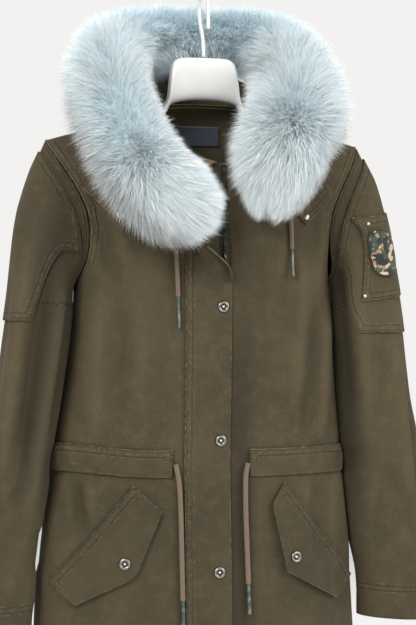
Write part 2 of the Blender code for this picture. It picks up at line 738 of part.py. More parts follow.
# ---- hanger and hook ----------------------------------------------------------------------
HANGER = Table(
    "x top bottom half_depth",
    (0.000, -0.0925, -0.1500, 0.0120),
    (0.020, -0.0927, -0.1508, 0.0120),
    (0.033, -0.0937, -0.1530, 0.0118),
    (0.0395, -0.0970, -0.1548, 0.0115),
    (0.0435, -0.1040, -0.1562, 0.0110),
    (0.0460, -0.1200, -0.1578, 0.0110),
    (0.0475, -0.1400, -0.1600, 0.0110),
    (0.0520, -0.1560, -0.1690, 0.0110),
    (0.060, -0.1655, -0.1805, 0.0105),
    (0.068, -0.1730, -0.1890, 0.0092),
    (0.078, -0.1775, -0.1960, 0.0105),
    (0.105, -0.1800, -0.2080, 0.0140),
    (0.140, -0.1880, -0.2220, 0.0150),
    (0.175, -0.1985, -0.2330, 0.0150),
    (0.192, -0.2050, -0.2340, 0.0120),
    (0.200, -0.2150, -0.2280, 0.0060),
)
HANGER_STATIONS = (
    0, 0.010, 0.020, 0.029, 0.0355, 0.040, 0.043, 0.0452, 0.0468, 0.0482, 0.0530, 0.060, 0.068, 0.0775,
    0.090, 0.105, 0.14, 0.17,
    0.188, 0.196, 0.200,
)
shoulder_trees = [skin_tree(name) for name in ("front_right", "front_left", "back")]


def within_cloth(point, depth):
    """Keeps a point of the hanger under the cloth of the shoulders."""
    for _ in range(3):
        for tree in shoulder_trees:
            spot, normal, _, distance = tree.find_nearest(point)
            if distance < 0.03 and (point - spot).dot(normal) > -depth:
                point = spot - normal * depth
    return point


places = [-x for x in HANGER_STATIONS[:0:-1]] + list(HANGER_STATIONS)
rings = []
for x in places:
    top, bottom = HANGER.at(abs(x), "top"), HANGER.at(abs(x), "bottom")
    deep = HANGER.at(abs(x), "half_depth")
    ring = []
    for n in range(14):
        turn = 2 * math.pi * (n + 0.5) / 14
        up = math.copysign(abs(math.cos(turn)) ** 0.7, math.cos(turn))
        out = math.copysign(abs(math.sin(turn)) ** 0.7, math.sin(turn))
        point = Vector((x, deep * out, (top + bottom) / 2 + (top - bottom) / 2 * up))
        ring.append(within_cloth(point, WALL + 2 * GAP) if abs(x) > 0.069 else point)
    rings.append(ring)
mesh = bpy.data.meshes.new("hanger")
count = 14
faces = [tuple(range(count)), tuple(range((len(rings) - 1) * count, len(rings) * count))[::-1]]
for r in range(len(rings) - 1):
    for c in range(count):
        a, b = r * count + c, r * count + (c + 1) % count
        faces.append((a, a + count, b + count, b))
hanger_points = [point for ring in rings for point in ring]
mesh.from_pydata(hanger_points, [], faces)
mesh.shade_smooth()
add("hanger", mesh, WHITE)
skins["hanger"] = (hanger_points, faces)

bend_level = -(HOOK_BEND - HOOK_ROD / 2)
hook_knots = [
    (0.0, HANGER_TOP + GAP), (0.0, -0.080), (0.0010, -0.0730), (0.0060, -0.0640), (0.0145, -0.0530),
    (0.0225, -0.0410),
]
hook_knots += [
    (HOOK_BEND * math.cos(math.radians(a)), bend_level + HOOK_BEND * math.sin(math.radians(a)))
    for a in range(-12, 181, 16)
]
hook_knots += [(-0.0275, -0.0400), (-0.0290, -0.0600)]
tube("hook", smooth_path([Vector((0, y, z)) for y, z in hook_knots], 2.2 * HOOK_ROD), HOOK_ROD, WHITE)

# ---- neck label on the inner back ---------------------------------------------------------
LABEL_WALL = 0.0006
grid = []
for level in (-0.179, -0.188, -0.197, -0.206):
    row = []
    for x in (-0.030, -0.014, 0.002, 0.018, 0.034):
        spot, normal, _, _ = skin_tree("back").find_nearest(body(x, level, 1))
        row.append(spot - normal * (WALL + 4 * GAP + LABEL_WALL))
    grid.append(row)
sheet("neck_label", grid, Vector((0, 0.2, -0.2)), LABEL, LABEL_WALL)

# ---- fur trim -----------------------------------------------------------------------------
# Centre line and reach of the fur along the hood's edge, from the right front round the back.
FUR_PATH = Table(
    "station x y z reach",
    (0, -0.0040, -0.114, -0.3020, 0.014),
    (1, -0.0140, -0.115, -0.3010, 0.034),
    (2, -0.0320, -0.118, -0.2980, 0.050),
    (3, -0.0550, -0.119, -0.2900, 0.061),
    (4, -0.0820, -0.117, -0.2700, 0.066),
    (5, -0.1060, -0.108, -0.2360, 0.067),
    (6, -0.1240, -0.088, -0.1900, 0.066),
    (7, -0.1310, -0.052, -0.1430, 0.064),
    (8, -0.1230, -0.008, -0.1040, 0.062),
    (9, -0.0990, 0.040, -0.0760, 0.056),
    (10, -0.0590, 0.071, -0.0590, 0.049),
    (11, -0.0100, 0.084, -0.0520, 0.046),
    (12, 0.0360, 0.084, -0.0520, 0.047),
    (13, 0.0800, 0.068, -0.0600, 0.052),
    (14, 0.1090, 0.034, -0.0800, 0.059),
    (15, 0.1190, -0.010, -0.1100, 0.066),
    (16, 0.1130, -0.055, -0.1500, 0.071),
    (17, 0.1010, -0.090, -0.1910, 0.072),
    (18, 0.0870, -0.110, -0.2300, 0.070),
    (19, 0.0750, -0.117, -0.2610, 0.063),
    (20, 0.0660, -0.117, -0.2860, 0.050),
    (21, 0.0600, -0.116, -0.3040, 0.031),
    (22, 0.0580, -0.116, -0.3130, 0.012),
)
LAST_STATION = 22
FUR_STATIONS, FUR_AROUND = 44, 18
FUR_CLEAR, FUR_SETTLED = 0.0110, 0.0095  # over the cloth, point by point and then face by face


def clear_of_cloth(point, trees, clearance, reach=0.06):
    """Moves a point that lies under the cloth's outer face, or nearly, out to the clearance."""
    for _ in range(3):
        for tree in trees:
            spot, normal, _, distance = tree.find_nearest(point)
            if spot is None or distance > reach:
                continue
            height = (point - spot).dot(normal)
            beside = distance > 0.004 and abs(height) < 0.75 * distance
            if height < clearance and not beside:
                point = spot + normal * clearance
    return point


SHELL = ("front_right", "front_left", "back", "sleeve_right", "sleeve_left")
cloth = [skin_tree(name) for name in SHELL]


def fur_frame(at):
    spot = Vector([FUR_PATH.at(at, axis) for axis in "xyz"])
    ahead = Vector([FUR_PATH.at(min(LAST_STATION, at + 0.3), axis) for axis in "xyz"])
    behind = Vector([FUR_PATH.at(max(0, at - 0.3), axis) for axis in "xyz"])
    tangent = (ahead - behind).normalized()
    centre = Vector((0, 0.01, spot.z - 0.02))
    inward = centre - spot
    inward = (inward - tangent * inward.dot(tangent)).normalized()
    return spot, inward, tangent.cross(inward), FUR_PATH.at(at, "reach")


fur_rings = []
for n in range(FUR_STATIONS + 1):
    spot, inward, upward, reach = fur_frame(LAST_STATION * n / FUR_STATIONS)
    ring = []
    for c in range(FUR_AROUND):
        turn = 2 * math.pi * c / FUR_AROUND
        point = spot + reach * (math.cos(turn) * inward + math.sin(turn) * upward)
        ring.append(clear_of_cloth(point, cloth, FUR_CLEAR))
    fur_rings.append(ring)

fur_rings = settled(fur_rings, ("hanger",), 3 * GAP, around=True)
fur_rings = settled(fur_rings, SHELL, FUR_SETTLED, around=True)
fur_points = [point for ring in fur_rings for point in ring]
FUR_LAST = FUR_STATIONS * FUR_AROUND
fur_faces = [tuple(range(FUR_AROUND))[::-1], tuple(range(FUR_LAST, FUR_LAST + FUR_AROUND))]
for r in range(FUR_STATIONS):
    for c in range(FUR_AROUND):
        a, b = r * FUR_AROUND + c, r * FUR_AROUND + (c + 1) % FUR_AROUND
        fur_faces.append((a, b, b + FUR_AROUND, a + FUR_AROUND))
mesh = bpy.data.meshes.new("fur_trim")
mesh.from_pydata(fur_points, [], fur_faces)
mesh.shade_smooth()
add("fur_trim", mesh, FUR)
skins["fur_trim"] = (fur_points, fur_faces)

# ---- hood ---------------------------------------------------------------------------------
# Down: it stands up beside the neck inside the fur, and hangs as a bag behind the back.
HOOD_FIRST, HOOD_LAST = 4, FUR_STATIONS - 4
HOOD_ROWS = 11
HOOD_CLEAR, HOOD_OFF_FUR, HOOD_ON_FUR = 0.0036, 0.0027, 0.0008
HOOD_REACH = 0.04
HOOD_BACK = Table(
    "row y z",
    (1, 0.066, -0.1500),
    (2, 0.072, -0.1760),
    (3, 0.074, -0.2260),
    (4, 0.075, -0.2780),
    (5, 0.081, -0.3180),
    (6, 0.100, -0.3330),
    (7, 0.126, -0.3120),
    (8, 0.142, -0.2500),
    (9, 0.140, -0.1780),
)


def neck_point(along):
    """A point just above the neckline, from the right front (0) round the back (0.5) to 1."""
    side = -1 if along <= 0.5 else 1
    share = 2 * min(along, 1 - along)
    start = -ZIP_RIGHT_EDGE if side < 0 else ZIP_LEFT_EDGE
    start += 0.002
    if share <= 0.62:
        x = start + (NECK_HALF - start) * math.sin(math.pi / 2 * share / 0.62)
        point = body(side * x, NECKLINE.at(x, "front"), -1, HOOD_CLEAR)
    else:
        x = NECK_HALF * math.cos(math.pi / 2 * (share - 0.62) / 0.38)
        point = body(side * x, NECKLINE.at(x, "back"), 1, HOOD_CLEAR)
    return point + Vector((0, 0, WALL))


def on_fur(n, frame, angle, away):
    """A point beside the fur's surface at a station, at an angle from the frame's inward side."""
    place = (angle / (2 * math.pi) * FUR_AROUND) % FUR_AROUND
    low = int(place)
    ring = fur_rings[n]
    point = ring[low % FUR_AROUND].lerp(ring[(low + 1) % FUR_AROUND], place - low)
    return point + away * (point - frame[0]).normalized()


hood_columns, hanging = [], []
for n in range(HOOD_FIRST, HOOD_LAST + 1):
    along = (n - HOOD_FIRST) / (HOOD_LAST - HOOD_FIRST)
    off_centre = abs(along - 0.5)
    neck = neck_point(along)
    frame = fur_frame(LAST_STATION * n / FUR_STATIONS)
    spot, inward, upward, _ = frame

    def angle_of(direction):
        return math.atan2(direction.dot(upward), direction.dot(inward))

    nearest = angle_of(neck - spot)
    foot = on_fur(n, frame, nearest, 0.0)
    offset = neck - foot
    under = angle_of(Vector((0, 0.35, -0.937)))
    behind = 1 - smooth(off_centre, 0.12, 0.27)
    last = nearest + (under - nearest) * behind
    fall = 0.3 + 0.7 * math.sqrt(max(0.0, 1 - (off_centre / 0.27) ** 2))
    edge = on_fur(n, frame, last, HOOD_OFF_FUR)
    column = [neck]
    for row in range(1, HOOD_ROWS - 1):
        share = row / (HOOD_ROWS - 1)
        off = offset * (1 - smooth(share, 0.0, 0.7))
        angle = nearest + (last - nearest) * smooth(share, 0.2, 1.0)
        beside = on_fur(n, frame, angle, HOOD_OFF_FUR) + off
        x = neck.x + (edge.x - neck.x) * share
        z = neck.z + (HOOD_BACK.at(row, "z") - neck.z) * (fall if row > 1 else 1)
        bag = Vector((x, HOOD_BACK.at(row, "y"), z))
        column.append(beside.lerp(bag, behind))
    hood_columns.append(column + [edge])
    hanging.append(behind)

for _ in range(6):
    before = [list(column) for column in hood_columns]
    for n, column in enumerate(hood_columns):
        left, right = before[max(0, n - 1)], before[min(len(before) - 1, n + 1)]
        for row in range(1, HOOD_ROWS - 1):
            beside = (left[row] + right[row] + before[n][row - 1] + before[n][row + 1]) / 4
            column[row] = before[n][row].lerp(beside, 0.5 * smooth(hanging[n], 0, 0.5))
for column in hood_columns:
    for row in range(1, HOOD_ROWS - 1):
        column[row] = clear_of_cloth(column[row], cloth, HOOD_CLEAR, HOOD_REACH)
grid = settled(rows_of(hood_columns), ("back",), HOOD_CLEAR)
grid = settled(grid, ("fur_trim",), HOOD_ON_FUR)
sheet("hood", grid, Vector((0, 0.095, -0.2)))
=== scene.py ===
"""Looks of the fur trimmed parka on its hanger, over the CAD frame.

Metres, +Z up, -Y towards the coat's front, +X to the wearer's left; the origin is where the hook
rests on the rail.
"""

import math

import bmesh
import bpy
import numpy as np
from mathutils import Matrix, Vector
from mathutils.bvhtree import BVHTree
from mathutils.kdtree import KDTree


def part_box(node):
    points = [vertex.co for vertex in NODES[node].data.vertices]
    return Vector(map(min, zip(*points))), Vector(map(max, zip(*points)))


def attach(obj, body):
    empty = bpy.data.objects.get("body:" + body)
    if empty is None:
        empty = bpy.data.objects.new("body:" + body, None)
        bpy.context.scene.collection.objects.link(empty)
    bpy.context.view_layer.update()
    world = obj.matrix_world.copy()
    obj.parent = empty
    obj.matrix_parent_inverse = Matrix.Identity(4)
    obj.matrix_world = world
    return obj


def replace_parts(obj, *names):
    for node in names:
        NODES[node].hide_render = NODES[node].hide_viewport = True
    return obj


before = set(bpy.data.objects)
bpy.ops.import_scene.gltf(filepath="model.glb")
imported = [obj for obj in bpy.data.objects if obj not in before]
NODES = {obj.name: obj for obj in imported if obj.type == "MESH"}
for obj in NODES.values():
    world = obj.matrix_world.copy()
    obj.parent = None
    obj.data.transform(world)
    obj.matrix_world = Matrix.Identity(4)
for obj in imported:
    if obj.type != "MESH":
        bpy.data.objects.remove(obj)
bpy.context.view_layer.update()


# ---- body ----
# A man's parka in washed cotton twill: two fronts and a back, each cut in one piece and hung in long
# soft folds. The seams are felled, so two rows of thread press a shallow groove beside each edge.
BODY = "root"
MM = 0.001


def srgb(code):
    """A hex colour as the linear numbers that Blender takes."""
    parts = [int(code[i : i + 2], 16) / 255 for i in (1, 3, 5)]
    return [p / 12.92 if p <= 0.04045 else ((p + 0.055) / 1.055) ** 2.4 for p in parts]


def metres(rows, units=MM):
    """A table in millimetres as metres, to a tenth of a micron."""
    return np.round(np.array(rows) * units, 7)


def smooth(value, low, high):
    t = np.clip((np.asarray(value, float) - low) / (high - low), 0, 1)
    return t * t * (3 - 2 * t)


def window(value, a, b, c, d):
    """Rises from a to b and falls from c to d."""
    return smooth(value, a, b) * (1 - smooth(value, c, d))


def unit(v):
    return v / np.maximum(np.linalg.norm(v, axis=-1, keepdims=True), 1e-12)


def points_of(mesh):
    out = np.empty(len(mesh.vertices) * 3)
    mesh.vertices.foreach_get("co", out)
    return out.reshape(-1, 3)


def put_points(mesh, points):
    mesh.vertices.foreach_set("co", np.ascontiguousarray(points, float).ravel())
    mesh.update()


def placed(name, data):
    obj = bpy.data.objects.new(name, data)
    bpy.context.scene.collection.objects.link(obj)
    return obj


def new_object(name, data, mat):
    obj = placed(name, data)
    data.materials.clear()
    data.materials.append(mat)
    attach(obj, BODY)
    return obj


def shade(mesh):
    mesh.polygons.foreach_set("use_smooth", np.ones(len(mesh.polygons), bool))


def mesh_from(bm, name):
    mesh = bpy.data.meshes.new(name)
    bm.to_mesh(mesh)
    bm.free()
    shade(mesh)
    return mesh


class Look:
    """A node material in the making; its coordinates are the object's own, in metres."""

    def __init__(self, name, rough, metallic=0.0, **inputs):
        self.mat = bpy.data.materials.new(name)
        self.mat.use_nodes = True
        self.tree = self.mat.node_tree
        self.shader = self.tree.nodes["Principled BSDF"]
        for key, value in {"Roughness": rough, "Metallic": metallic, **inputs}.items():
            self.put(value, self.shader.inputs[key.replace("_", " ")])
        self.where = self.node("ShaderNodeTexCoord", "Object", {})

    def put(self, value, socket):
        """Sets a socket to a number or a hex colour, or links a node's output to it."""
        if isinstance(value, bpy.types.NodeSocket):
            self.tree.links.new(value, socket)
        else:
            socket.default_value = (*srgb(value), 1) if isinstance(value, str) else value

    def node(self, kind, output, inputs, **settings):
        """A new node's output, with its inputs given by name or number."""
        made = self.tree.nodes.new(kind)
        for key, value in settings.items():
            setattr(made, key, value)
        for key, value in inputs.items():
            self.put(value, made.inputs[key])
        return made.outputs[output]

    def stretched(self, scale):
        return self.node("ShaderNodeMapping", "Vector", {"Scale": scale, "Vector": self.where})

    def noise(self, scale, detail=3.0, stretch=None, rough=0.55):
        place = self.stretched(stretch) if stretch else self.where
        inputs = {"Scale": scale, "Detail": detail, "Roughness": rough, "Vector": place}
        return self.node("ShaderNodeTexNoise", "Fac", inputs)

    def wave(self, scale, stretch, distortion=0.0, detail_scale=1.0):
        inputs = {"Scale": scale, "Distortion": distortion, "Detail Scale": detail_scale}
        inputs["Vector"] = self.stretched(stretch)
        return self.node("ShaderNodeTexWave", "Fac", inputs, bands_direction="DIAGONAL")

    def attribute(self, name, output="Fac"):
        return self.node("ShaderNodeAttribute", output, {}, attribute_name=name)

    def math(self, what, a, b):
        return self.node("ShaderNodeMath", 0, {0: a, 1: b}, operation=what)

    def times(self, a, b):
        return self.math("MULTIPLY", a, b)

    def span(self, value, low, high, to_low=0.0, to_high=1.0):
        inputs = {"Value": value, "From Min": low, "From Max": high, "To Min": to_low, "To Max": to_high}
        return self.node("ShaderNodeMapRange", "Result", inputs, interpolation_type="SMOOTHSTEP")

    def mix(self, factor, a, b):
        return self.node("ShaderNodeMix", 2, {"Factor": factor, 6: a, 7: b}, data_type="RGBA")

    def ramp(self, value, *stops):
        made = self.tree.nodes.new("ShaderNodeValToRGB")
        ramp = made.color_ramp
        while len(ramp.elements) < len(stops):
            ramp.elements.new(0.5)
        for element, (place, colour) in zip(ramp.elements, stops):
            element.position = place
            element.color = (*srgb(colour), 1)
        self.put(value, made.inputs["Fac"])
        return made.outputs["Color"]

    def colour(self, source):
        self.put(source, self.shader.inputs["Base Color"])

    def bump(self, *layers):
        """Each layer is (height output, strength, depth in metres); a strength below 0 sinks."""
        inputs = {}
        for height, strength, depth in layers:
            inputs.update({"Strength": abs(strength), "Distance": depth, "Height": height})
            inputs["Normal"] = self.node("ShaderNodeBump", "Normal", inputs, invert=strength < 0)
        self.put(inputs["Normal"], self.shader.inputs["Normal"])


# How much painted shade darkens the groove of a sewn row.
GROOVE_PAINTED_SHADE = 0.30


def twill(name, dark, mid, light, worn, rows=(), twill_depth=0.00018):
    """Washed cotton twill: ribs, slubs, mottling, pale worn rims, a groove with painted shade along each
    sewn row, painted shade in fold valleys and from the crease attribute, and painted light on fold crests.
    """
    sheen = {"Sheen_Weight": 0.06, "Sheen_Roughness": 0.6, "Sheen_Tint": "#cdbf9f"}
    look = Look(name, 0.88, Specular_IOR_Level=0.2, **sheen)
    wash = look.noise(7.0, 4.0)
    mottle = look.noise(60.0, 4.0, rough=0.65)
    grain = look.noise(620.0, 2.0, (1.0, 1.0, 0.55))
    base = look.mix(look.span(wash, 0.3, 0.7), dark, mid)
    base = look.mix(look.times(look.span(mottle, 0.42, 0.72), 0.35), base, light)
    base = look.mix(look.times(look.span(grain, 0.35, 0.8), 0.30), base, light)
    rim, row, fold = look.attribute("rim"), look.attribute("row"), look.attribute("fold")
    # Painted shade in the fold valleys and painted light on the fold crests.
    base = look.mix(look.span(fold, -0.004, 0.0, 0.34, 0.0), base, dark)
    base = look.mix(look.span(fold, 0.0006, 0.004, 0.0, 0.22), base, light)
    edge = look.span(rim, 0.0006, 0.0021, 1.0, 0.0)
    rub = look.span(look.noise(110.0, 3.0), 0.35, 0.62)
    base = look.mix(look.times(look.times(edge, rub), 0.55), base, worn)
    pucker = look.noise(260.0, 2.0)
    layers = []
    for at in rows:
        off = look.math("ABSOLUTE", look.math("SUBTRACT", row, at), 0.0)
        groove = look.span(off, 0.0003, 0.0011, 1.0, 0.0)
        beside = look.times(look.span(off, 0.0008, 0.0014), look.span(off, 0.0020, 0.0036, 1.0, 0.0))
        rub = look.times(beside, look.span(pucker, 0.46, 0.66))
        # Painted shade in the groove of each sewn row.
        base = look.mix(look.times(groove, GROOVE_PAINTED_SHADE), base, "#2a2519")
        base = look.mix(look.times(rub, 0.42), base, worn)
        layers += [(groove, -0.9, 0.0011), (rub, 0.7, 0.0008)]
    # Painted shade, and darkening low on the coat, carried by the crease attribute.
    base = look.mix(look.attribute("crease"), base, "#16140e")
    look.colour(base)
    ribs = look.wave(430.0, (1.0, 0.55, 1.0), 0.6, 3.0)
    look.bump(
        (look.noise(34.0, 5.0, (1.0, 1.0, 0.55)), 0.6, 0.0026),
        *layers,
        (grain, 0.35, 0.0004),
        (ribs, 0.30, twill_depth),
    )
    return look.mat


SHADES = ("#3a3324", "#463e2d", "#564c38", "#75694f")
# Washed cotton twill, piece dyed: dull, with a fine slanting rib, paler where the edges rub.
ARMHOLE_SEWN = twill("olive_twill_body", *SHADES, (0.0030, 0.0095))

# Each row is x0, z0, x1, z1, half width and height, in millimetres: a soft crest (height above 0) or
# valley (below 0) from one point to another in the front view, fading out at both ends.
FRONT_FOLDS = metres([
    (-155, -270, -128, -400, 10, -4.2), (-140, -262, -112, -380, 12, 3), (-150, -400, -156, -600, 14, 3.4),
    (-126, -420, -128, -590, 16, -2.8), (-66, -350, -70, -560, 20, -2), (-94, -460, -98, -600, 16, 2),
    (-178, -652, -170, -715, 7, -3.6), (-164, -650, -158, -700, 8, 2.4), (-140, -648, -132, -690, 8, -2),
    (-200, -690, -196, -950, 16, 3), (-86, -800, -92, -970, 22, -3), (-140, -820, -150, -975, 20, 2.8),
    (62, -340, 70, -560, 18, -2.2), (106, -360, 100, -480, 14, -3.4), (124, -340, 116, -560, 14, 2.6),
    (150, -300, 146, -420, 10, 4), (140, -420, 128, -600, 11, -4.8), (158, -440, 150, -600, 10, 4.2),
    (150, -655, 140, -760, 10, -2.4), (128, -652, 120, -700, 9, 2.4), (170, -650, 166, -800, 14, 1.8),
    (186, -780, 184, -950, 12, -2), (60, -830, 62, -975, 20, -2.6), (120, -840, 126, -975, 18, 3),
])
BACK_FOLDS = metres([
    (-140, -260, -110, -500, 16, -4), (138, -270, 108, -500, 16, -3.8), (-60, -380, -70, -600, 18, 3),
    (50, -400, 66, -600, 18, 2.8), (-10, -340, -4, -590, 20, -3), (-120, -655, -130, -780, 10, -4),
    (-70, -655, -72, -800, 10, 3.6), (-20, -655, -18, -780, 10, -3.8), (30, -655, 34, -800, 10, 3.6),
    (82, -655, 90, -780, 10, -4), (132, -655, 140, -800, 10, 3.4), (-40, -800, -46, -990, 20, 3.6),
    (60, -800, 70, -990, 20, -3.6),
])

# On a sleeve the rows run from (turn, level) to (turn, level); turn 0 is the outer side, 90 the front,
# and turns and half widths are in degrees.
SLEEVE_UNITS = (1, MM, 1, MM, 1, MM)
SLEEVE_FOLDS = {
    -1: metres([
        (84, -330, 78, -640, 13, -8.5), (50, -380, 46, -640, 16, 4.5), (116, -420, 112, -700, 15, 5),
        (138, -400, 132, -600, 14, -4), (60, -250, 96, -300, 12, 2), (80, -690, 50, -740, 14, 2.6),
        (112, -640, 70, -680, 10, -2.6), (-60, -420, -70, -700, 18, -4.6), (-110, -400, -104, -640, 18, 4),
        (20, -540, 60, -575, 9, -2),
    ], SLEEVE_UNITS),
    1: metres([
        (60, -430, 52, -700, 18, 3), (28, -420, 24, -690, 13, -3.4), (10, -560, 12, -760, 12, 3.6),
        (112, -360, 118, -600, 16, 3.4), (142, -340, 146, -560, 14, -4.6), (96, -640, 60, -690, 13, -2.4),
        (84, -730, 40, -760, 12, 2.2), (-60, -420, -70, -700, 18, -4.6), (-110, -400, -104, -640, 18, 4),
    ], SLEEVE_UNITS),
}

# Each arm's line, from below its armhole to its cuff.
ARM_LINE = {
    -1: metres([(-205, -3, -300), (-275, -22, -850)]),
    1: metres([(207, -3, -300), (262, -12, -845)]),
}
FOLD_GAIN = 1.35


def fold_height(u, v, folds, u_scale=1.0):
    """Heights at (u, v) of all folds that run from (u0, v0) to (u1, v1)."""
    total = np.zeros(len(u))
    for u0, v0, u1, v1, width, height in folds:
        a, b = np.array([u0 * u_scale, v0]), np.array([u1 * u_scale, v1])
        span = b - a
        length = np.hypot(*span)
        t = ((u * u_scale - a[0]) * span[0] + (v - a[1]) * span[1]) / length**2
        off = ((u * u_scale - a[0]) * span[1] - (v - a[1]) * span[0]) / length
        w = width * u_scale
        ends = window(t, -0.12, 0.22, 0.72, 1.12)
        across = np.exp(-((off / w) ** 2)) - 0.35 * np.exp(-(((np.abs(off) - 1.9 * w) / w) ** 2))
        total += FOLD_GAIN * height * ends * across
    return total


def ripples(points, scale, phase):
    """A slow, seeded waviness: sums of sines along tilted directions."""
    p = points * scale
    return (
        np.sin(p[:, 0] * 1.0 + 0.55 * np.sin(p[:, 2] * 0.31 + phase) + phase)
        * np.sin(p[:, 2] * 0.21 + 1.7 * phase + p[:, 1] * 0.2)
        + 0.5 * np.sin(p[:, 0] * 1.9 - p[:, 2] * 0.43 + 2.3 * phase)
    )


def torso_field(points):
    """(outward direction, height) of the body's cloth at each point."""
    x, y, z = points.T
    ax, ay = np.abs(x) / 0.205, np.abs(y) / 0.068
    out = unit(np.stack([np.sign(x) * ax**1.5 / 0.205, np.sign(y) * ay**1.5 / 0.068, 0 * z], 1))
    front = fold_height(x, z, FRONT_FOLDS)
    back = fold_height(x, z, BACK_FOLDS)
    face = smooth(-y, -0.015, 0.02)
    height = front * face + back * (1 - face)
    height += 0.0011 * ripples(points, 62.0, 0.7) * (0.4 + 0.6 * smooth(-z, 0.25, 0.4))
    near_seam = smooth(-z, 0.160, 0.215)
    calm_casing = 1 - 0.75 * np.exp(-(((z + 0.627) / 0.018) ** 2))
    calm_middle = 1 - 0.85 * np.exp(-(((x - 0.004) / 0.046) ** 4)) * face
    height *= near_seam * calm_casing * calm_middle
    beside = np.where(x < 0, swell(points, -1, 2), swell(points, 1, 2))
    return out, height + beside * smooth(np.abs(out[:, 0]), 0.45, 0.85)


# How far sleeve and body swell towards each other beside the waist: z, sleeve, body, in millimetres.
SWELL = {
    -1: metres([
        (-980, 1, 2.4), (-860, 3.2, 4.2), (-790, 3.6, 4.6), (-770, 3, 4.4), (-755, 0, 1.4), (-716, 0, 1),
        (-703, 3.2, 2.6), (-643.5, 3.6, 2.6), (-641, 2, 0.9), (-611, 1.2, 0.7), (-604, 2.6, 2),
        (-570, 1.4, 1),
        (-460, 0, 0), (-430, 1.4, 1), (-390, 1.4, 1), (-370, 0, 0),
    ]),
    1: metres([
        (-775, 0, 0), (-740, 3.4, 2.6), (-700, 4.7, 3.4), (-648, 5.2, 3.8), (-641, 1.5, 1.3),
        (-611, 1.5, 1.3),
        (-604, 5, 3.8), (-500, 3.8, 2.8), (-440, 2.2, 1.6), (-360, 0, 0),
    ]),
}


def swell(points, side, column):
    rows = SWELL[side]
    return np.interp(points[:, 2], rows[:, 0], rows[:, column])


def side_shadow(node, points):
    """Painted shade between sleeve and body, beside the placket, down the sleeve and at its head; darker
    low on the coat, more on the pocket flaps.
    """
    x, z = points[:, 0], points[:, 2]
    low = 0.13 * smooth(-z, 0.60, 0.74) + (0.08 if node.startswith("pocket") else 0.0)
    if node.startswith("sleeve_r") or node.startswith("sleeve_l") or node.startswith("upper_arm"):
        side = 1 if node.endswith("left") else -1
        out, _, turn = sleeve_frame(points, side)
        facing = smooth(-side * out[:, 0], 0.35, 0.90)
        dark = (0.62 if side > 0 else 0.50) * facing * window(z, -0.74, -0.60, -0.30, -0.24)
        if side < 0:
            valley = np.exp(-(((turn - 96 - 20 * (z + 0.45)) / 17) ** 2))
            dark = np.maximum(dark, 0.62 * valley * window(z, -0.70, -0.58, -0.36, -0.27))
        return np.maximum(dark, 0.14 * smooth(z, -0.40, -0.30)) + low
    if node.startswith(("front", "back")):
        out, _ = torso_field(points)
        facing = smooth(np.abs(out[:, 0]), 0.62, 0.92)
        dark = 0.45 * facing * window(z, -0.74, -0.60, -0.28, -0.22)
        if node == "front_left":
            dark = np.maximum(dark, 0.42 * (1 - smooth(x, 0.036, 0.062)) * smooth(-z, 0.30, 0.60))
        if node == "front_right":
            dark = np.maximum(dark, 0.30 * smooth(x, -0.044, -0.026) * smooth(-z, 0.40, 0.62))
        return dark + low
    return low


def sleeve_frame(points, side):
    """(outward direction, offset from the arm's line, turn in degrees about it) at each point."""
    top, foot = ARM_LINE[side]
    share = np.clip((points[:, 2] - top[2]) / (foot[2] - top[2]), -0.3, 1.1)
    away = points - (top + (foot - top) * share[:, None])
    away[:, 2] *= 0.15
    return unit(away), away, np.degrees(np.arctan2(-away[:, 1], side * away[:, 0]))


def sleeve_field(points, side):
    """(outward direction, height) of a sleeve's cloth at each point."""
    out, _, turn = sleeve_frame(points, side)
    height = fold_height(turn, points[:, 2], SLEEVE_FOLDS[side], 0.0009)
    height += 0.0010 * ripples(points + np.array([0.3 * side, 0, 0]), 70.0, 1.9 + side)
    height += swell(points, side, 1) * smooth(-side * out[:, 0], 0.30, 0.80)
    return out, height * smooth(-points[:, 2], 0.235, 0.300) * (1 - 0.6 * smooth(-points[:, 2], 0.79, 0.83))


def field_for(name):
    if "sleeve" in name or "arm_panel" in name or "patch" in name or "rivet" in name:
        side = -1 if name.endswith("right") else 1
        return lambda p: sleeve_field(p, side)
    return torso_field


RIM_ANGLE = math.radians(48)
LONGEST_EDGE, SUBDIVISIONS = 0.022, 2
surfaces = {}


def quad_mesh(source):
    """The CAD shell as quads, with its rims creased and long cells split."""
    bm = bmesh.new()
    bm.from_mesh(source.data)
    bmesh.ops.remove_doubles(bm, verts=bm.verts, dist=1e-6)
    bmesh.ops.join_triangles(
        bm, faces=bm.faces, angle_face_threshold=math.radians(38), angle_shape_threshold=math.radians(70)
    )
    long_edges = [e for e in bm.edges if e.calc_length() > LONGEST_EDGE]
    bmesh.ops.subdivide_edges(bm, edges=long_edges, cuts=1, use_grid_fill=True)
    crease = bm.edges.layers.float.new("crease_edge")
    for edge in bm.edges:
        if len(edge.link_faces) == 2 and edge.calc_face_angle(0) > RIM_ANGLE:
            edge[crease] = 1.0
    return bm, crease


def outer_loops(bm, crease, outward):
    """The rims of the shell's outer face: (ordered points, whether the rim closes on itself)."""
    bm.normal_update()
    rims = {}
    for edge in bm.edges:
        if edge[crease] < 0.5:
            continue
        for face in edge.link_faces:
            middle = np.array([face.calc_center_median()])
            facing = Vector(outward(middle)[0]).dot(face.normal)
            if facing > 0.35:
                for a, b in (tuple(edge.verts), tuple(edge.verts)[::-1]):
                    rims.setdefault(a, []).append(b)
                break
    loops, used = [], set()
    # Open chains are walked from their ends, before what is left, which closes on itself.
    for start in sorted(rims, key=lambda v: len(rims[v])):
        if start in used:
            continue
        path, at, before = [start], start, None
        used.add(start)
        while True:
            ahead = [v for v in rims[at] if v is not before and v not in used]
            if not ahead:
                break
            before, at = at, ahead[0]
            used.add(at)
            path.append(at)
        if len(path) > 5:
            loops.append((np.array([v.co[:] for v in path]), path[0] in rims[path[-1]]))
    return loops


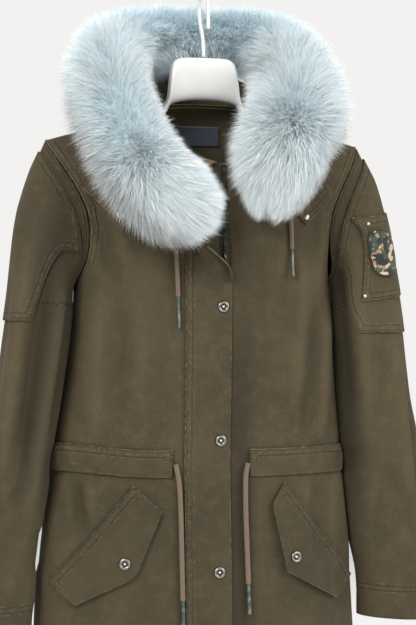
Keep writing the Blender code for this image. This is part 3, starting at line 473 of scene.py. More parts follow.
def rim_distance(loops, points):
    """Distance from each point to the nearest rim, from densely sampled rim loops."""
    dense = []
    for loop, closes in loops:
        line = np.vstack([loop, loop[:1]]) if closes else loop
        for a, b in zip(line[:-1], line[1:]):
            steps = max(1, int(np.linalg.norm(b - a) / 0.003))
            dense += [a + (b - a) * k / steps for k in range(steps)]
    tree = KDTree(len(dense))
    for i, p in enumerate(dense):
        tree.insert(p, i)
    tree.balance()
    return np.array([tree.find(p)[2] for p in points])


def subdivided(bm):
    obj = placed("work", mesh_from(bm, "work"))
    modifier = obj.modifiers.new("smooth", "SUBSURF")
    modifier.levels = modifier.render_levels = SUBDIVISIONS
    graph = bpy.context.evaluated_depsgraph_get()
    done, coarse = bpy.data.meshes.new_from_object(obj.evaluated_get(graph)), obj.data
    bpy.data.objects.remove(obj)
    bpy.data.meshes.remove(coarse)
    return done


def cloth(node, mat, lift=0.0, field=None, extra=None, rows_at=None, shadow=None):
    """A CAD shell as fine cloth: split, folded along its field, lifted clear of what it lies on.

    Its sewn rows are measured by rows_at(points, rim), and shadow(points, rim) gives its painted shade,
    kept in the crease attribute.
    """
    field = field or field_for(node)

    def outward(p):
        return field(p)[0]

    bm, crease = quad_mesh(NODES[node])
    loops = outer_loops(bm, crease, outward)
    mesh = subdivided(bm)
    points = points_of(mesh)
    rim = rim_distance(loops, points)
    out, height = field(points)
    moved = points + out * (height + lift)[:, None]
    if extra:
        moved = extra(points, moved, rim)
    put_points(mesh, moved)
    row = rows_at(points, rim) if rows_at else rim
    dark = shadow(points, rim) if shadow else side_shadow(node, points)
    # The fold heights also set painted shade and light in the material; crease carries painted shade.
    for name, values in (("rim", rim), ("fold", height), ("row", row), ("crease", dark)):
        mesh.attributes.new(name, "FLOAT", "POINT").data.foreach_set("value", values)
    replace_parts(new_object(node + "_cloth", mesh, mat), node)
    tree = BVHTree.FromPolygons([Vector(p) for p in moved], [tuple(f.vertices) for f in mesh.polygons])
    moved_loops = []
    for loop, closes in loops:
        out, height = field(loop)
        moved_loops.append((loop + out * (height + lift)[:, None], closes))
    surfaces[node] = {"tree": tree, "loops": moved_loops, "out": outward}


ARMHOLE_FOOT, CASING_SEAM = -0.37, -0.6265


def armhole_front(p):
    return (np.abs(p[:, 0]) > 0.10) & (p[:, 2] > ARMHOLE_FOOT)


def armhole_back(p):
    return (np.abs(p[:, 0]) > 0.15) & (p[:, 2] > ARMHOLE_FOOT)


def only(where):
    """Rows of stitches only where this holds."""
    return lambda points, rim: np.where(where(points), rim, 1.0)


for name in ("front_right", "front_left"):
    cloth(name, ARMHOLE_SEWN, rows_at=only(armhole_front))
cloth("back", ARMHOLE_SEWN, rows_at=only(armhole_back))


# ---- sleeves and upper arm panels ----
# Two-piece twill sleeves set into the armholes, with a second layer sewn flat over each upper arm.
# They crease across where the elbow bends, and two rows of thread hold the hem of the cuff.
# The same twill in two layers, with both rows of thread near the edge.
EDGED = twill("olive_twill_double_sewn", *SHADES, (0.0026, 0.0092))
CUFF_ROWS = (0.0370, 0.0435)
# The same twill, with a row at the armhole and two at the cuff.
SLEEVE_SEWN = twill("olive_twill_sleeve_sewn", *SHADES, (0.0036, *CUFF_ROWS))


def sleeve_head(p):
    return p[:, 2] > -0.42


def sleeve_rows(points, rim):
    """One row at the armhole, and two above the cuff."""
    return np.where(sleeve_head(points), rim.clip(max=0.02), rim.clip(0.02))


for side_name in ("right", "left"):
    cloth(f"sleeve_{side_name}", SLEEVE_SEWN, rows_at=sleeve_rows)
    cloth(f"upper_arm_panel_{side_name}", EDGED, lift=-0.0004)


# ---- pocket on the arm and its patch ----
# A small twill patch pocket sewn to the left arm panel, and a printed cotton patch with an
# overlocked border stitched onto it.
def camouflage():
    """Rounded patches of four woodland colours, cut by noise, with a black overlocked border."""
    look = Look("woodland_print", 0.85, Sheen_Weight=0.1)
    base = "#2f4030"
    for scale, detail, stretch, edge, tone in (
        (62.0, 2.0, (1.0, 1.0, 1.5), 0.54, "#8f7557"),
        (74.0, 2.0, (1.4, 1.0, 0.9), 0.515, "#191d18"),
        (88.0, 1.5, (0.8, 1.3, 1.1), 0.615, "#b3a07f"),
    ):
        patches = look.noise(scale, detail, stretch, 0.45)
        base = look.mix(look.span(patches, edge, edge + 0.015), base, tone)
    rim = look.attribute("rim")
    base = look.mix(look.span(rim, 0.0018, 0.0022, 1.0, 0.0), base, "#161714")
    look.colour(base)
    rounds = look.noise(900.0, 2.0)
    look.bump((look.span(rim, 0.0016, 0.0030, 1.0, 0.0), 0.7, 0.0008), (rounds, 0.4, 0.0004))
    return look.mat


# Printed cotton: flat patches of colour, quite dull.
CAMOUFLAGE = camouflage()
cloth("sleeve_pocket", EDGED, lift=-0.0009)
cloth("camouflage_patch", CAMOUFLAGE, lift=0.0004)


# ---- placket ----
# The long double twill flap that covers the zip. It is sewn down along one side, snaps over the
# other, and its top is turned back like a small lapel.
def lapel_shadow(points, rim):
    """Painted shadow under the placket's turned-out corner, a little way in from its free edge, and darker
    low on the coat.
    """
    inside = window(rim, 0.0012, 0.0026, 0.0040, 0.0150)
    dark = 0.85 * inside * smooth(points[:, 2], -0.400, -0.372) * smooth(points[:, 0], -0.036, -0.026)
    return dark + 0.13 * smooth(-points[:, 2], 0.60, 0.74)


def placket_fold(p):
    return p[:, 0] < -0.025


cloth("storm_flap", EDGED, lift=0.0006, rows_at=only(placket_fold), shadow=lapel_shadow)


# ---- waist tunnel ----
# Strips of twill sewn onto the fronts and the back as a tunnel for the waist cord. The pull of the
# cord puckers them.
def casing_puckers(points, moved, rim):
    """Gathers over the cord inside the tunnel: short crests across it."""
    x, z = points[:, 0], points[:, 2]
    crest = np.sin(x * 260 + 1.8 * np.sin(x * 61) + 14 * z) * (0.5 + 0.5 * np.sin(x * 37 + 1.0))
    sign = np.where(points[:, 1] < 0.0, -1.0, 1.0)
    inside = smooth(rim, 0.003, 0.012)
    moved[:, 1] += sign * 0.0022 * crest * inside
    return moved


def casing_top(p):
    return p[:, 2] > CASING_SEAM


for name in ("waist_casing_right", "waist_casing_left", "waist_casing_back"):
    cloth(name, EDGED, lift=0.0008, extra=casing_puckers, rows_at=only(casing_top))


# ---- pocket flaps ----
# Double twill flaps over the slanted pockets in the fronts. They are sewn along the upper edge, and
# the free edge stands off the coat by a few millimetres.
def free_edge(mouth, peak):
    """Stands a pocket flap off the front, more the further from the sewn mouth, in the front view."""
    def extra(points, moved, rim):
        moved[:, 1] -= peak * smooth(mouth_distance(points, mouth), 0.004, 0.058)
        return moved

    return extra


def mouth_distance(points, mouth):
    (x0, z0), (x1, z1) = mouth
    across = (points[:, 0] - x0) * (z1 - z0) - (points[:, 2] - z0) * (x1 - x0)
    return np.abs(across) / math.hypot(x1 - x0, z1 - z0)


MOUTHS = {"right": ((-0.209, -0.776), (-0.106, -0.654)), "left": ((0.193, -0.781), (0.095, -0.652))}
for side_name, peak in (("right", 0.0012), ("left", 0.0040)):
    mouth = MOUTHS[side_name]
    cloth(f"pocket_flap_{side_name}", EDGED, lift=0.0013, extra=free_edge(mouth, peak),
          rows_at=only(lambda p: mouth_distance(p, mouth) < 0.016))


# ---- shoulder tabs ----
# Short double twill straps at the collarbones, sewn in at one end and snapped down at the other.
for side_name in ("right", "left"):
    cloth(f"shoulder_tab_{side_name}", EDGED, lift=0.0009)


# ---- hood ----
# The hood hangs down behind the neck in a soft bag of twill lined with plain poplin. Its mouth is
# the edge that carries the fur.
# Cotton poplin, plain woven: smoother than the twill, with no rib, and a little paler, as painted light on
# the shaded inside of the hood.
LINING = twill("olive_poplin_lining", "#524936", "#605540", "#766850", "#8f8064", (), 0.0001)


def hood_out(points):
    """Outward from the bag's middle, and from the neck's middle above it."""
    middle = np.array([0.0, 0.098, -0.22])
    low = smooth(points[:, 1], 0.03, 0.07)[:, None]
    centre = middle * low + np.array([0.0, 0.0, -0.20]) * (1 - low)
    away = points - centre
    away[:, 0] *= 0.35
    return unit(away)


def hood_field(points):
    height = 0.0022 * ripples(points, 55.0, 0.3) * smooth(points[:, 1], 0.055, 0.09)
    return hood_out(points), height


cloth("hood", LINING, field=hood_field)


# ---- neck label ----
# A bare woven satin label, sewn inside the back of the neck by its edges.
def woven(name, rough, scale, stretch, dark, light, share, strength, depth, **inputs):
    look = Look(name, rough, **inputs)
    weave = look.wave(scale, stretch)
    look.colour(look.mix(look.times(weave, share), dark, light))
    look.bump((weave, strength, depth))
    return look.mat


# Woven polyester satin: a soft gloss that the coat's own cloth lacks.
LABEL = woven("navy_satin_label", 0.55, 900.0, (1.0, 0.3, 0.2), "#363a45", "#4d5362", 0.5, 0.4, 0.0002,
              Sheen_Weight=0.2)


def neck_out(points):
    away = points - np.array([0.0, 0.2, 0.0])
    away[:, 2] = 0
    return unit(away)


cloth("neck_label", LABEL, field=lambda p: (neck_out(p), np.zeros(len(p))))


# ---- zip tapes ----
# Two strips of tightly woven polyester tape, sewn behind the edges of the fronts.
# Woven polyester tape: nearly black, with a fine cross rib.
ZIP_TAPE = woven("zip_tape_weave", 0.9, 700.0, (1.0, 0.4, 1.0), "#201e19", "#34312a", 1.0, 0.5, 0.0003)
for name in ("zip_tape_right", "zip_tape_left"):
    cloth(name, ZIP_TAPE, field=torso_field)


# ---- stitching ----
# Rows of thick cotton thread along every sewn edge, each stitch a short raised bead sunk a little
# into the cloth, and under some rows a thin dark strip of painted shade where the seam pulls in.
RNG = np.random.default_rng(7)


def mesh_of(name, points, quads):
    """A mesh from arrays: points (n, 3) and faces (m, 3 or 4)."""
    mesh = bpy.data.meshes.new(name)
    quads = np.asarray(quads, np.int32)
    corners = quads.shape[1]
    mesh.vertices.add(len(points))
    mesh.vertices.foreach_set("co", np.ascontiguousarray(points, float).ravel())
    mesh.loops.add(quads.size)
    mesh.loops.foreach_set("vertex_index", quads.ravel())
    mesh.polygons.add(len(quads))
    mesh.polygons.foreach_set("loop_start", np.arange(0, quads.size, corners, dtype=np.int32))
    mesh.update(calc_edges=True)
    mesh.validate()
    return mesh


def speckled(name, rough, scale, low, dark, light, bump=None, **inputs):
    """Two mottled tones, and a fine grain of (scale, strength, depth)."""
    look = Look(name, rough, **inputs)
    look.colour(look.mix(look.span(look.noise(scale), low, 0.7), dark, light))
    if bump:
        look.bump((look.noise(bump[0]), *bump[1:]))
    return look.mat


# Spun cotton thread: dull, a shade lighter than the twill, so the rows read as fine beads.
THREAD = speckled("olive_thread", 0.75, 300.0, 0.3, "#574d39", "#6f644c",
                  (1500.0, 0.4, 0.0002), Sheen_Weight=0.2)
# Painted shade in the narrow valley of a seam.
SEAM_SHADE = speckled("painted_seam_shade", 0.95, 400.0, 0.3, "#2f2a1d", "#3a3425")
STITCH, STITCH_GAP = 0.0026, 0.0009
STITCH_WIDTH, STITCH_RISE, STITCH_WOBBLE = 0.00062, 0.00042, 0.00012
NEARBY, BEFORE_ALL = 0.012, -0.3
stitch_points, stitch_faces = [], []
seam_points, seam_faces = [], []
SEAM_WIDTH, SEAM_RISE = 0.0011, 0.00018


def rounded(path, spacing):
    """A polyline sampled at even steps along its length."""
    lengths = np.linalg.norm(np.diff(path, axis=0), axis=1)
    along = np.concatenate([[0], np.cumsum(lengths)])
    count = max(2, int(along[-1] / spacing))
    marks = np.linspace(0, along[-1], count + 1)
    return np.stack([np.interp(marks, along, path[:, k]) for k in range(3)], 1)


def foot_on(trees, spot):
    """The nearest point of these surfaces and its normal, or nothing where all are too far."""
    found = [tree.find_nearest(Vector(spot), NEARBY) for tree in trees]
    found = [hit for hit in found if hit[0] is not None]
    if found:
        return [np.array(v) for v in min(found, key=lambda hit: hit[3])[:2]]


def front_y(trees, x, z):
    """How far forward the foremost of these surfaces reaches at (x, z), or nothing."""
    hits = [tree.ray_cast(Vector((x, BEFORE_ALL, z)), Vector((0, 1, 0)))[0] for tree in trees]
    return min((hit.y for hit in hits if hit is not None), default=None)


def lay_seam_shade(path, trees):
    """A dark strip of painted shade under a row of stitches, where the needle line pulls the cloth in."""
    path = rounded(path, STITCH)
    base, row = len(seam_points), 0
    for at, forward in zip(path, unit(np.gradient(path, axis=0))):
        if found := foot_on(trees, at):
            foot, up = found
            across = unit(np.cross(forward, up)) * SEAM_WIDTH / 2
            seam_points.extend([foot + up * SEAM_RISE - across, foot + up * SEAM_RISE + across])
            if row:
                k = base + 2 * row
                seam_faces.append((k - 2, k - 1, k + 1, k))
            row += 1


def sew(path, trees):
    """Stitches along a path, laid on the nearest of the surfaces."""
    path = rounded(path, STITCH + STITCH_GAP)
    path = path + RNG.normal(0, STITCH_WOBBLE, path.shape)
    for a, b in zip(path[:-1], path[1:]):
        if found := foot_on(trees, (a + b) / 2):
            foot, up = found
            ahead = unit(b - a)
            tip, across = ahead * STITCH / 2, unit(np.cross(ahead, up)) * STITCH_WIDTH / 2
            crest = foot + up * STITCH_RISE
            base = len(stitch_points)
            stitch_points.extend([foot - tip, foot + across, foot + tip, foot - across])
            stitch_points.extend([crest - tip * 0.35, crest + tip * 0.35])
            stitch_faces.extend(
                (base + i, base + j, base + k)
                for i, j, k in ((0, 1, 4), (1, 5, 4), (1, 2, 5), (2, 3, 5), (3, 4, 5), (3, 0, 4))
            )


def offset_line(line, closes, distance, outward, middle):
    """A rim moved inward over its own surface, towards the piece's middle."""
    path = rounded(np.vstack([line, line[:1]]) if closes else line, 0.0045)
    if closes:
        path = path[:-1]
        ahead = unit(np.roll(path, -2, 0) - np.roll(path, 2, 0))
    else:
        ahead = unit(np.gradient(path, axis=0))
    side = unit(np.cross(outward(path), ahead))
    flip = np.sign(np.sum(side * (middle - path), 1).sum()) or 1.0
    moved = path + flip * side * distance
    if closes:
        for _ in range(2):
            moved = (np.roll(moved, 1, 0) + 2 * moved + np.roll(moved, -1, 0)) / 4
        return np.vstack([moved, moved[:1]])
    return moved[2:-2]


def topstitch(node, rows, keep=None, sunk=False):
    """Rows of stitches inside a piece's rim, at these distances, where keep(points) holds; if sunk, with a
    strip of painted seam shade under them.
    """
    data = surfaces[node]
    trees = [data["tree"]]
    middle = np.concatenate([line for line, _ in data["loops"]]).mean(0)
    for line, closes in data["loops"]:
        if np.ptp(line, axis=0).max() < 0.02:
            continue
        for distance in rows:
            path = offset_line(line, closes, distance, data["out"], middle)
            held = np.ones(len(path), bool) if keep is None else keep(path)
            start = None
            for i, good in enumerate(np.append(held, False)):
                if good and start is None:
                    start = i
                elif not good and start is not None:
                    if i - start > 3:
                        sew(path[start:i], trees)
                        if sunk:
                            lay_seam_shade(path[start:i], trees)
                    start = None


def cuff_row(node, above):
    """A row of stitches round a sleeve, this far above its cuff, with a strip of painted seam shade under
    it.
    """
    tree = surfaces[node]["tree"]
    rim = min((line for line, _ in surfaces[node]["loops"]), key=lambda line: line[:, 2].mean())
    centre = rim.mean(0)
    up = np.linalg.svd(rim - centre)[2][2]
    start = centre + up * np.sign(up[2]) * above
    path = []
    for way in unit(rim - centre):
        spot = tree.ray_cast(Vector(start + way * 0.12), Vector(-way))[0]
        if spot is not None:
            path.append(spot[:])
    sew(np.array(path), [tree])
    lay_seam_shade(np.array(path), [tree])


def front_line(ends, nodes):
    """A row on the front from one (x, z) to another, with a strip of painted seam shade under it."""
    (x0, z0), (x1, z1) = ends
    trees = [surfaces[n]["tree"] for n in nodes]
    spots = [(x0 + (x1 - x0) * t, z0 + (z1 - z0) * t) for t in np.linspace(0, 1, 24)]
    path = [(x, y, z) for x, z in spots if (y := front_y(trees, x, z)) is not None]
    if len(path) > 3:
        sew(np.array(path), trees)
        lay_seam_shade(np.array(path), trees)


for side_name in ("right", "left"):
    topstitch(f"pocket_flap_{side_name}", (0.0026,))
    mouth = MOUTHS[side_name]
    topstitch(f"pocket_flap_{side_name}", (0.0092,), lambda p: mouth_distance(p, mouth) < 0.012)
    topstitch(f"shoulder_tab_{side_name}", (0.0026,))
    topstitch(f"upper_arm_panel_{side_name}", (0.0026, 0.0092))
    topstitch(f"front_{side_name}", (0.0030, 0.0095), armhole_front)
    topstitch(f"front_{side_name}", (0.0280,), lambda p: p[:, 2] < -0.93, sunk=True)
    for above in CUFF_ROWS:
        cuff_row(f"sleeve_{side_name}", above)
    topstitch(f"sleeve_{side_name}", (0.0036,), sleeve_head)
topstitch("sleeve_pocket", (0.0026, 0.0092))
topstitch("storm_flap", (0.0026,), lambda p: (p[:, 0] > -0.03) & (p[:, 2] > -0.39))
topstitch("storm_flap", (0.0026, 0.0092), placket_fold)
for name in ("waist_casing_right", "waist_casing_left"):
    topstitch(name, (0.0026,))
    topstitch(name, (0.0092,), casing_top)
topstitch("waist_casing_back", (0.0026, 0.0092))
topstitch("back", (0.0030, 0.0095), armhole_back)
topstitch("back", (0.0280,), lambda p: p[:, 2] < -0.95, sunk=True)
topstitch("hood", (0.0080,), lambda p: p[:, 1] > 0.03, sunk=True)
topstitch("neck_label", (0.0018,))

# The waist seam runs on from the tunnels to the placket; each shoulder tab is crossed and barred.
for shift in (0.0, -0.0062):
    front_line(((-0.0420, -0.6140 + shift), (-0.0240, -0.6146 + shift)), ("front_right",))
    front_line(((0.0360, -0.6135 + shift), (0.0625, -0.6125 + shift)), ("front_left",))
for sign, name in ((-1, "right"), (1, "left")):
    for ends in (((0.1385, -0.2690), (0.1590, -0.2830)), ((0.1300, -0.2800), (0.1490, -0.2950)),
                 ((0.1385, -0.2690), (0.1490, -0.2950)), ((0.1300, -0.2800), (0.1590, -0.2830))):
        front_line([(sign * x, z) for x, z in ends], (f"shoulder_tab_{name}",))
new_object("topstitching", mesh_of("topstitching", np.array(stitch_points), stitch_faces), THREAD)
new_object("painted_seam_shade_strips", mesh_of("painted_seam_shade_strips", np.array(seam_points), seam_faces), SEAM_SHADE)


# ---- zip teeth ----
# Small cast metal teeth clamped to the two tapes, those of one side standing between those of
# the other.
def metal(name, dark, light, rough, scale=320.0):
    look = Look(name, rough, 1.0)
    stain = look.noise(scale, 4.0)
    look.colour(look.mix(look.span(stain, 0.35, 0.7), dark, light))
    look.put(look.span(stain, 0.3, 0.75, rough + 0.12, rough - 0.06), look.shader.inputs["Roughness"])
    look.bump((look.noise(900.0, 3.0), 0.25, 0.0002))
    return look.mat


# Oxidised brass: dark, with small dull glints.
TOOTH_METAL = metal("dark_teeth", "#2b2a28", "#5d5954", 0.38)
TOOTH_PITCH = 0.0027
ZIP_TOP, ZIP_FOOT, ZIP_MIDDLE = -0.240, -0.953, 0.011


def zip_teeth():
    """Rows of small teeth along the two meeting tape edges, one row half a pitch below the other."""
    trees = [surfaces[n]["tree"] for n in ("zip_tape_right", "zip_tape_left")]
    points, faces = [], []
    half = np.array([0.0019, 0.0008, 0.00085])
    corners = np.array([(x, y, z) for x in (-1, 1) for y in (-1, 1) for z in (-1, 1)], float)
    sides = ((0, 1, 3, 2), (4, 6, 7, 5), (0, 4, 5, 1), (2, 3, 7, 6), (0, 2, 6, 4), (1, 5, 7, 3))
    count = int((ZIP_TOP - ZIP_FOOT) / TOOTH_PITCH)
    for n in range(count):
        for row, shift in ((-1, 0.0), (1, 0.5)):
            level = ZIP_TOP - (n + shift) * TOOTH_PITCH
            x = ZIP_MIDDLE + row * 0.0011
            y = front_y(trees, x, level)
            if y is not None:
                base = len(points)
                block = corners * half * np.array([1, 1, 0.75 + 0.25 * row])
                points.extend(block + np.array([x, y - 0.0006, level]))
                faces.extend(tuple(base + i for i in face) for face in sides)
    return mesh_of("zip_teeth", np.array(points), faces)


new_object("zip_teeth", zip_teeth(), TOOTH_METAL)


# ---- snaps and rivets ----
# Ring snaps and domed snaps turned from silvered brass and riveted through the cloth, and two
# rivets in the same silver at the corners of the arm pocket.
def tube_quads(rings, around):
    """Faces between rings of points, each ring closed on itself."""
    corners = [(c, around + c, around + (c + 1) % around, (c + 1) % around) for c in range(around)]
    return [tuple(ring * around + c for c in face) for ring in range(rings - 1) for face in corners]


def circle(steps, side, other):
    """Directions all round, from one unit vector towards another."""
    turns = np.linspace(0, 2 * math.pi, steps, endpoint=False)
    return np.cos(turns)[:, None] * side + np.sin(turns)[:, None] * other


def tidied(mesh, close=False):
    """Welded, optionally closed, facing out and smooth."""
    bm = bmesh.new()
    bm.from_mesh(mesh)
    bmesh.ops.remove_doubles(bm, verts=bm.verts, dist=1e-6)
    if close:
        bmesh.ops.holes_fill(bm, edges=bm.edges, sides=0)
    bmesh.ops.recalc_face_normals(bm, faces=bm.faces)
    bm.to_mesh(mesh)
    bm.free()
    shade(mesh)
    return mesh


def silver_with_painted_light():
    """Silver with painted light: painted highlights on the dome and the rolled rim, painted shade in the
    groove between them and at the outer edge.
    """
    look = Look("antique_silver", 0.3, 1.0)
    stops = ((0.0, "#d8d5cf"), (0.24, "#b5b1aa"), (0.33, "#24221f"), (0.46, "#45423e"), (0.58, "#85817b"),
             (0.86, "#989490"), (0.94, "#504d48"), (1.0, "#292724"))
    painted_light_bands = look.ramp(look.attribute("across"), *stops)
    stain = look.noise(420.0, 3.0)
    look.colour(look.mix(look.times(look.span(stain, 0.5, 0.75), 0.4), painted_light_bands, "#5a5751"))
    look.bump((stain, 0.15, 0.0002))
    return look.mat


# Plated brass, turned, with painted light: bright painted highlights on the edges and dome, and a darker
# ring of painted shade.
SNAP_SILVER = silver_with_painted_light()
RING_PROFILE = metres([
    (0, 2.4), (0.9, 2.3), (1.7, 1.7), (2.1, 0.9), (2.5, 0.6), (3.2, 0.7), (3.7, 1.4), (4.3, 2), (5.5, 2.4),
    (6.6, 2.2), (7.2, 1.6), (7.6, 0.8), (7.7, 0),
])
DOME_PROFILE = metres([(0, 2), (1.2, 1.9), (2.4, 1.4), (3.2, 0.8), (3.8, 0.5), (3.8, 0)])
RIVET_PROFILE = metres([(0, 1.3), (0.9, 1.2), (1.7, 0.8), (2.2, 0.4), (2.4, 0)])


def turned(node, profile, base, steps=32):
    """A turned metal piece on its carrier's surface, with its axis along the cloth's normal."""
    points = points_of(NODES[node].data)
    centre = (points.min(0) + points.max(0)) / 2
    out = surfaces[base]["out"](centre[None, :])[0]
    foot, normal, _, _ = surfaces[base]["tree"].ray_cast(Vector(centre + 0.03 * out), Vector(-out))
    up = np.array(normal)
    side = unit(np.cross(up, (0.0, 0.0, 1.0)))
    ahead = np.cross(up, side)
    ring = circle(steps, side, ahead)
    made = np.concatenate([r * ring + up * (h + 0.0002) for r, h in profile]) + np.array(foot)
    widest = max(r for r, _ in profile)
    mesh = tidied(mesh_of(node + "_turned", made, tube_quads(len(profile), steps)))
    off = points_of(mesh) - np.array(foot)
    off -= (off @ up)[:, None] * up
    share = np.linalg.norm(off, axis=1) / widest
    # A small dome takes only the painted highlight in the middle of the ramp.
    share *= 1.0 if profile is RING_PROFILE else 0.2
    mesh.attributes.new("across", "FLOAT", "POINT").data.foreach_set("value", share)
    obj = new_object(node + "_turned", mesh, SNAP_SILVER)
    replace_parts(obj, node)


for number in range(1, 5):
    turned(f"flap_snap_{number}", RING_PROFILE, "storm_flap")
for side_name in ("right", "left"):
    turned(f"pocket_snap_{side_name}", RING_PROFILE, f"pocket_flap_{side_name}")
    turned(f"tab_snap_{side_name}", DOME_PROFILE, f"shoulder_tab_{side_name}", 24)
for name in ("upper", "lower"):
    turned(f"pocket_rivet_{name}", RIVET_PROFILE, "sleeve_pocket", 16)


# ---- drawstrings ----
# Round braided cotton cords, two at the hood and two at the waist. Each ends in a ribbed metal tip
# that is crimped on.
def braid(name, dark, light):
    look = Look(name, 0.8, Sheen_Weight=0.15)
    strands = look.wave(560.0, (1.0, 1.0, 1.0), 0.4, 2.0)
    crossed = look.wave(560.0, (-1.0, 1.0, 1.0), 0.4, 2.0)
    woven = look.times(strands, crossed)
    # Painted light on the strands' tops and painted shade between them.
    tone = look.mix(look.span(woven, 0.05, 0.5), dark, light)
    look.colour(look.mix(look.times(look.noise(90.0), 0.3), tone, "#8b7962"))
    look.bump((woven, 0.8, 0.0006))
    return look.mat


# Braided cotton: slanting strands, with painted highlights on top and painted shade between them.
CORD_BRAID = braid("taupe_braid", "#5c4b39", "#8b765e")
# Zinc alloy with a patina: greenish grey and half dull.
TIP_METAL = metal("patina_tip", "#535953", "#7d847b", 0.50, 120.0)

# In millimetres: the cord's diameter, its tip's diameter and end, and its route from exit to tip.
CORDS = {
    "hood_cord_right": (5.8, 4.4, (-48.9, -75.6, -452.3), [
        (-53.2, -74.2, -351.9), (-52.2, -74.6, -367.2), (-51.3, -75, -382.4), (-50.8, -75.1, -397.7),
        (-50.2, -75.2, -413),
    ]),
    "hood_cord_left": (5.8, 4.4, (104.7, -68.7, -385.3), [
        (100.4, -68.1, -299.9), (101.4, -68.5, -315.3), (102.2, -68.7, -330.7), (102.9, -68.7, -346.1),
    ]),
    "waist_cord_right": (6.6, 5.6, (-43, -75.2, -848.2), [
        (-51.7, -66, -627), (-48.7, -67.5, -642.4), (-47, -68.4, -658.1), (-45.9, -70.6, -689.6),
        (-45.4, -72.1, -721.1), (-44.9, -73.3, -752.6), (-44.3, -74, -784.2), (-44, -74.3, -800),
    ]),
    "waist_cord_left": (6.6, 5.6, (43.2, -78.9, -822.1), [
        (44.2, -66.9, -627), (40.9, -68.4, -642), (40.2, -69.3, -657.5), (40, -71.4, -688.6),
        (40.6, -73.5, -719.7), (41.3, -75.2, -750.7), (42.2, -76.8, -781.8),
    ]),
}


def catmull(p0, p1, p2, p3, t):
    square, cube = 2 * p0 - 5 * p1 + 4 * p2 - p3, 3 * p1 - p0 - 3 * p2 + p3
    return 0.5 * (2 * p1 + (p2 - p0) * t + square * t**2 + cube * t**3)


def smooth_route(knots, spacing):
    """A Catmull-Rom line through the knots at even steps."""
    full = [2 * knots[0] - knots[1], *knots, 2 * knots[-1] - knots[-2]]
    shares = np.linspace(0, 1, 12, endpoint=False)
    fine = [catmull(*four, t) for four in zip(full, full[1:], full[2:], full[3:]) for t in shares]
    return rounded(np.array([*fine, knots[-1]]), spacing)


def clear_front(points, radius):
    """Moves a route forward as one where the folded cloth has come through it."""
    under = ("front_right", "front_left", "storm_flap", "waist_casing_right", "waist_casing_left")
    trees = [surfaces[n]["tree"] for n in under]
    lift = np.zeros(len(points))
    for i, (x, y, z) in enumerate(points):
        front = front_y(trees, x, z)
        if front is not None:
            lift[i] = max(0, y - (front - radius - 0.0004))
    for _ in range(4):
        padded = np.concatenate([lift[:1], lift, lift[-1:]])
        lift = np.maximum(lift, (padded[:-2] + padded[1:-1] + padded[2:]) / 3)
    moved = points.copy()
    moved[:, 1] -= lift
    return moved


def round_curve(name, points, diameter, mat):
    data = bpy.data.curves.new(name, "CURVE")
    data.dimensions = "3D"
    spline = data.splines.new("POLY")
    spline.points.add(len(points) - 1)
    for point, place in zip(spline.points, points):
        point.co = (*place, 1)
    data.bevel_depth = diameter / 2
    data.bevel_resolution = 4
    data.use_fill_caps = True
    return new_object(name, data, mat)


TIP_RIBS, TIP_STEPS = 11, 20


def metal_tip(name, start, end, diameter):
    """A ribbed metal sheath over the cord's end, with a rolled rim."""
    ahead, length = unit(end - start), np.linalg.norm(end - start)
    side = unit(np.cross(ahead, (1.0, 0.0, 0.0)))
    other = np.cross(ahead, side)
    rows = [(0.0, 0.80), (0.01, 1.04), (0.03, 1.04)]
    for n in range(TIP_RIBS):
        at = 0.05 + 0.88 * n / TIP_RIBS
        rows += [(at, 0.86), (at + 0.20 / TIP_RIBS, 1.0), (at + 0.62 / TIP_RIBS, 1.0)]
    rows += [(0.95, 1.0), (0.99, 0.9), (1.0, 0.0)]
    ring = circle(TIP_STEPS, side, other)
    made = np.concatenate([ring * diameter / 2 * r + ahead * length * s for s, r in rows]) + start
    mesh = tidied(mesh_of(name, made, tube_quads(len(rows), TIP_STEPS)))
    return new_object(name, mesh, TIP_METAL)


for name, row in CORDS.items():
    diameter, tip_diameter, tip_end, knots = (metres(part) for part in row)
    diameter = float(diameter)
    route = clear_front(smooth_route([*knots, tip_end], diameter), diameter / 2)
    cut = int(np.argmin(np.abs(route[:, 2] - knots[-1][2])))
    string = round_curve(name + "_braid", route[: cut + 1], diameter, CORD_BRAID)
    tip = metal_tip(name + "_sheath", route[cut], route[-1], tip_diameter)
    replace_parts(string, name)
    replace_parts(tip, name + "_tip")


# ---- hanger ----
# A plain white hanger, moulded in one piece from polystyrene with a rounded section, and its hook.
# Moulded polystyrene: off-white, with a broad soft gloss.
HANGER_WHITE = speckled("white_hanger_plastic", 0.38, 14.0, 0.4, "#cccbc8", "#c4c3c0",
                        (160.0, 0.12, 0.0004), Coat_Weight=0.15)
for name in ("hanger", "hook"):
    mesh = subdivided(quad_mesh(NODES[name])[0])
    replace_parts(new_object(name + "_moulded", mesh, HANGER_WHITE), name)


# ---- zip slider ----
# The cast slider body as a rounded block, at the place on the zip where it stops.
# Copper, pressed: warm and fairly bright, rubbed by wear.
COPPER = metal("copper", "#8a5a3a", "#d0946a", 0.3)


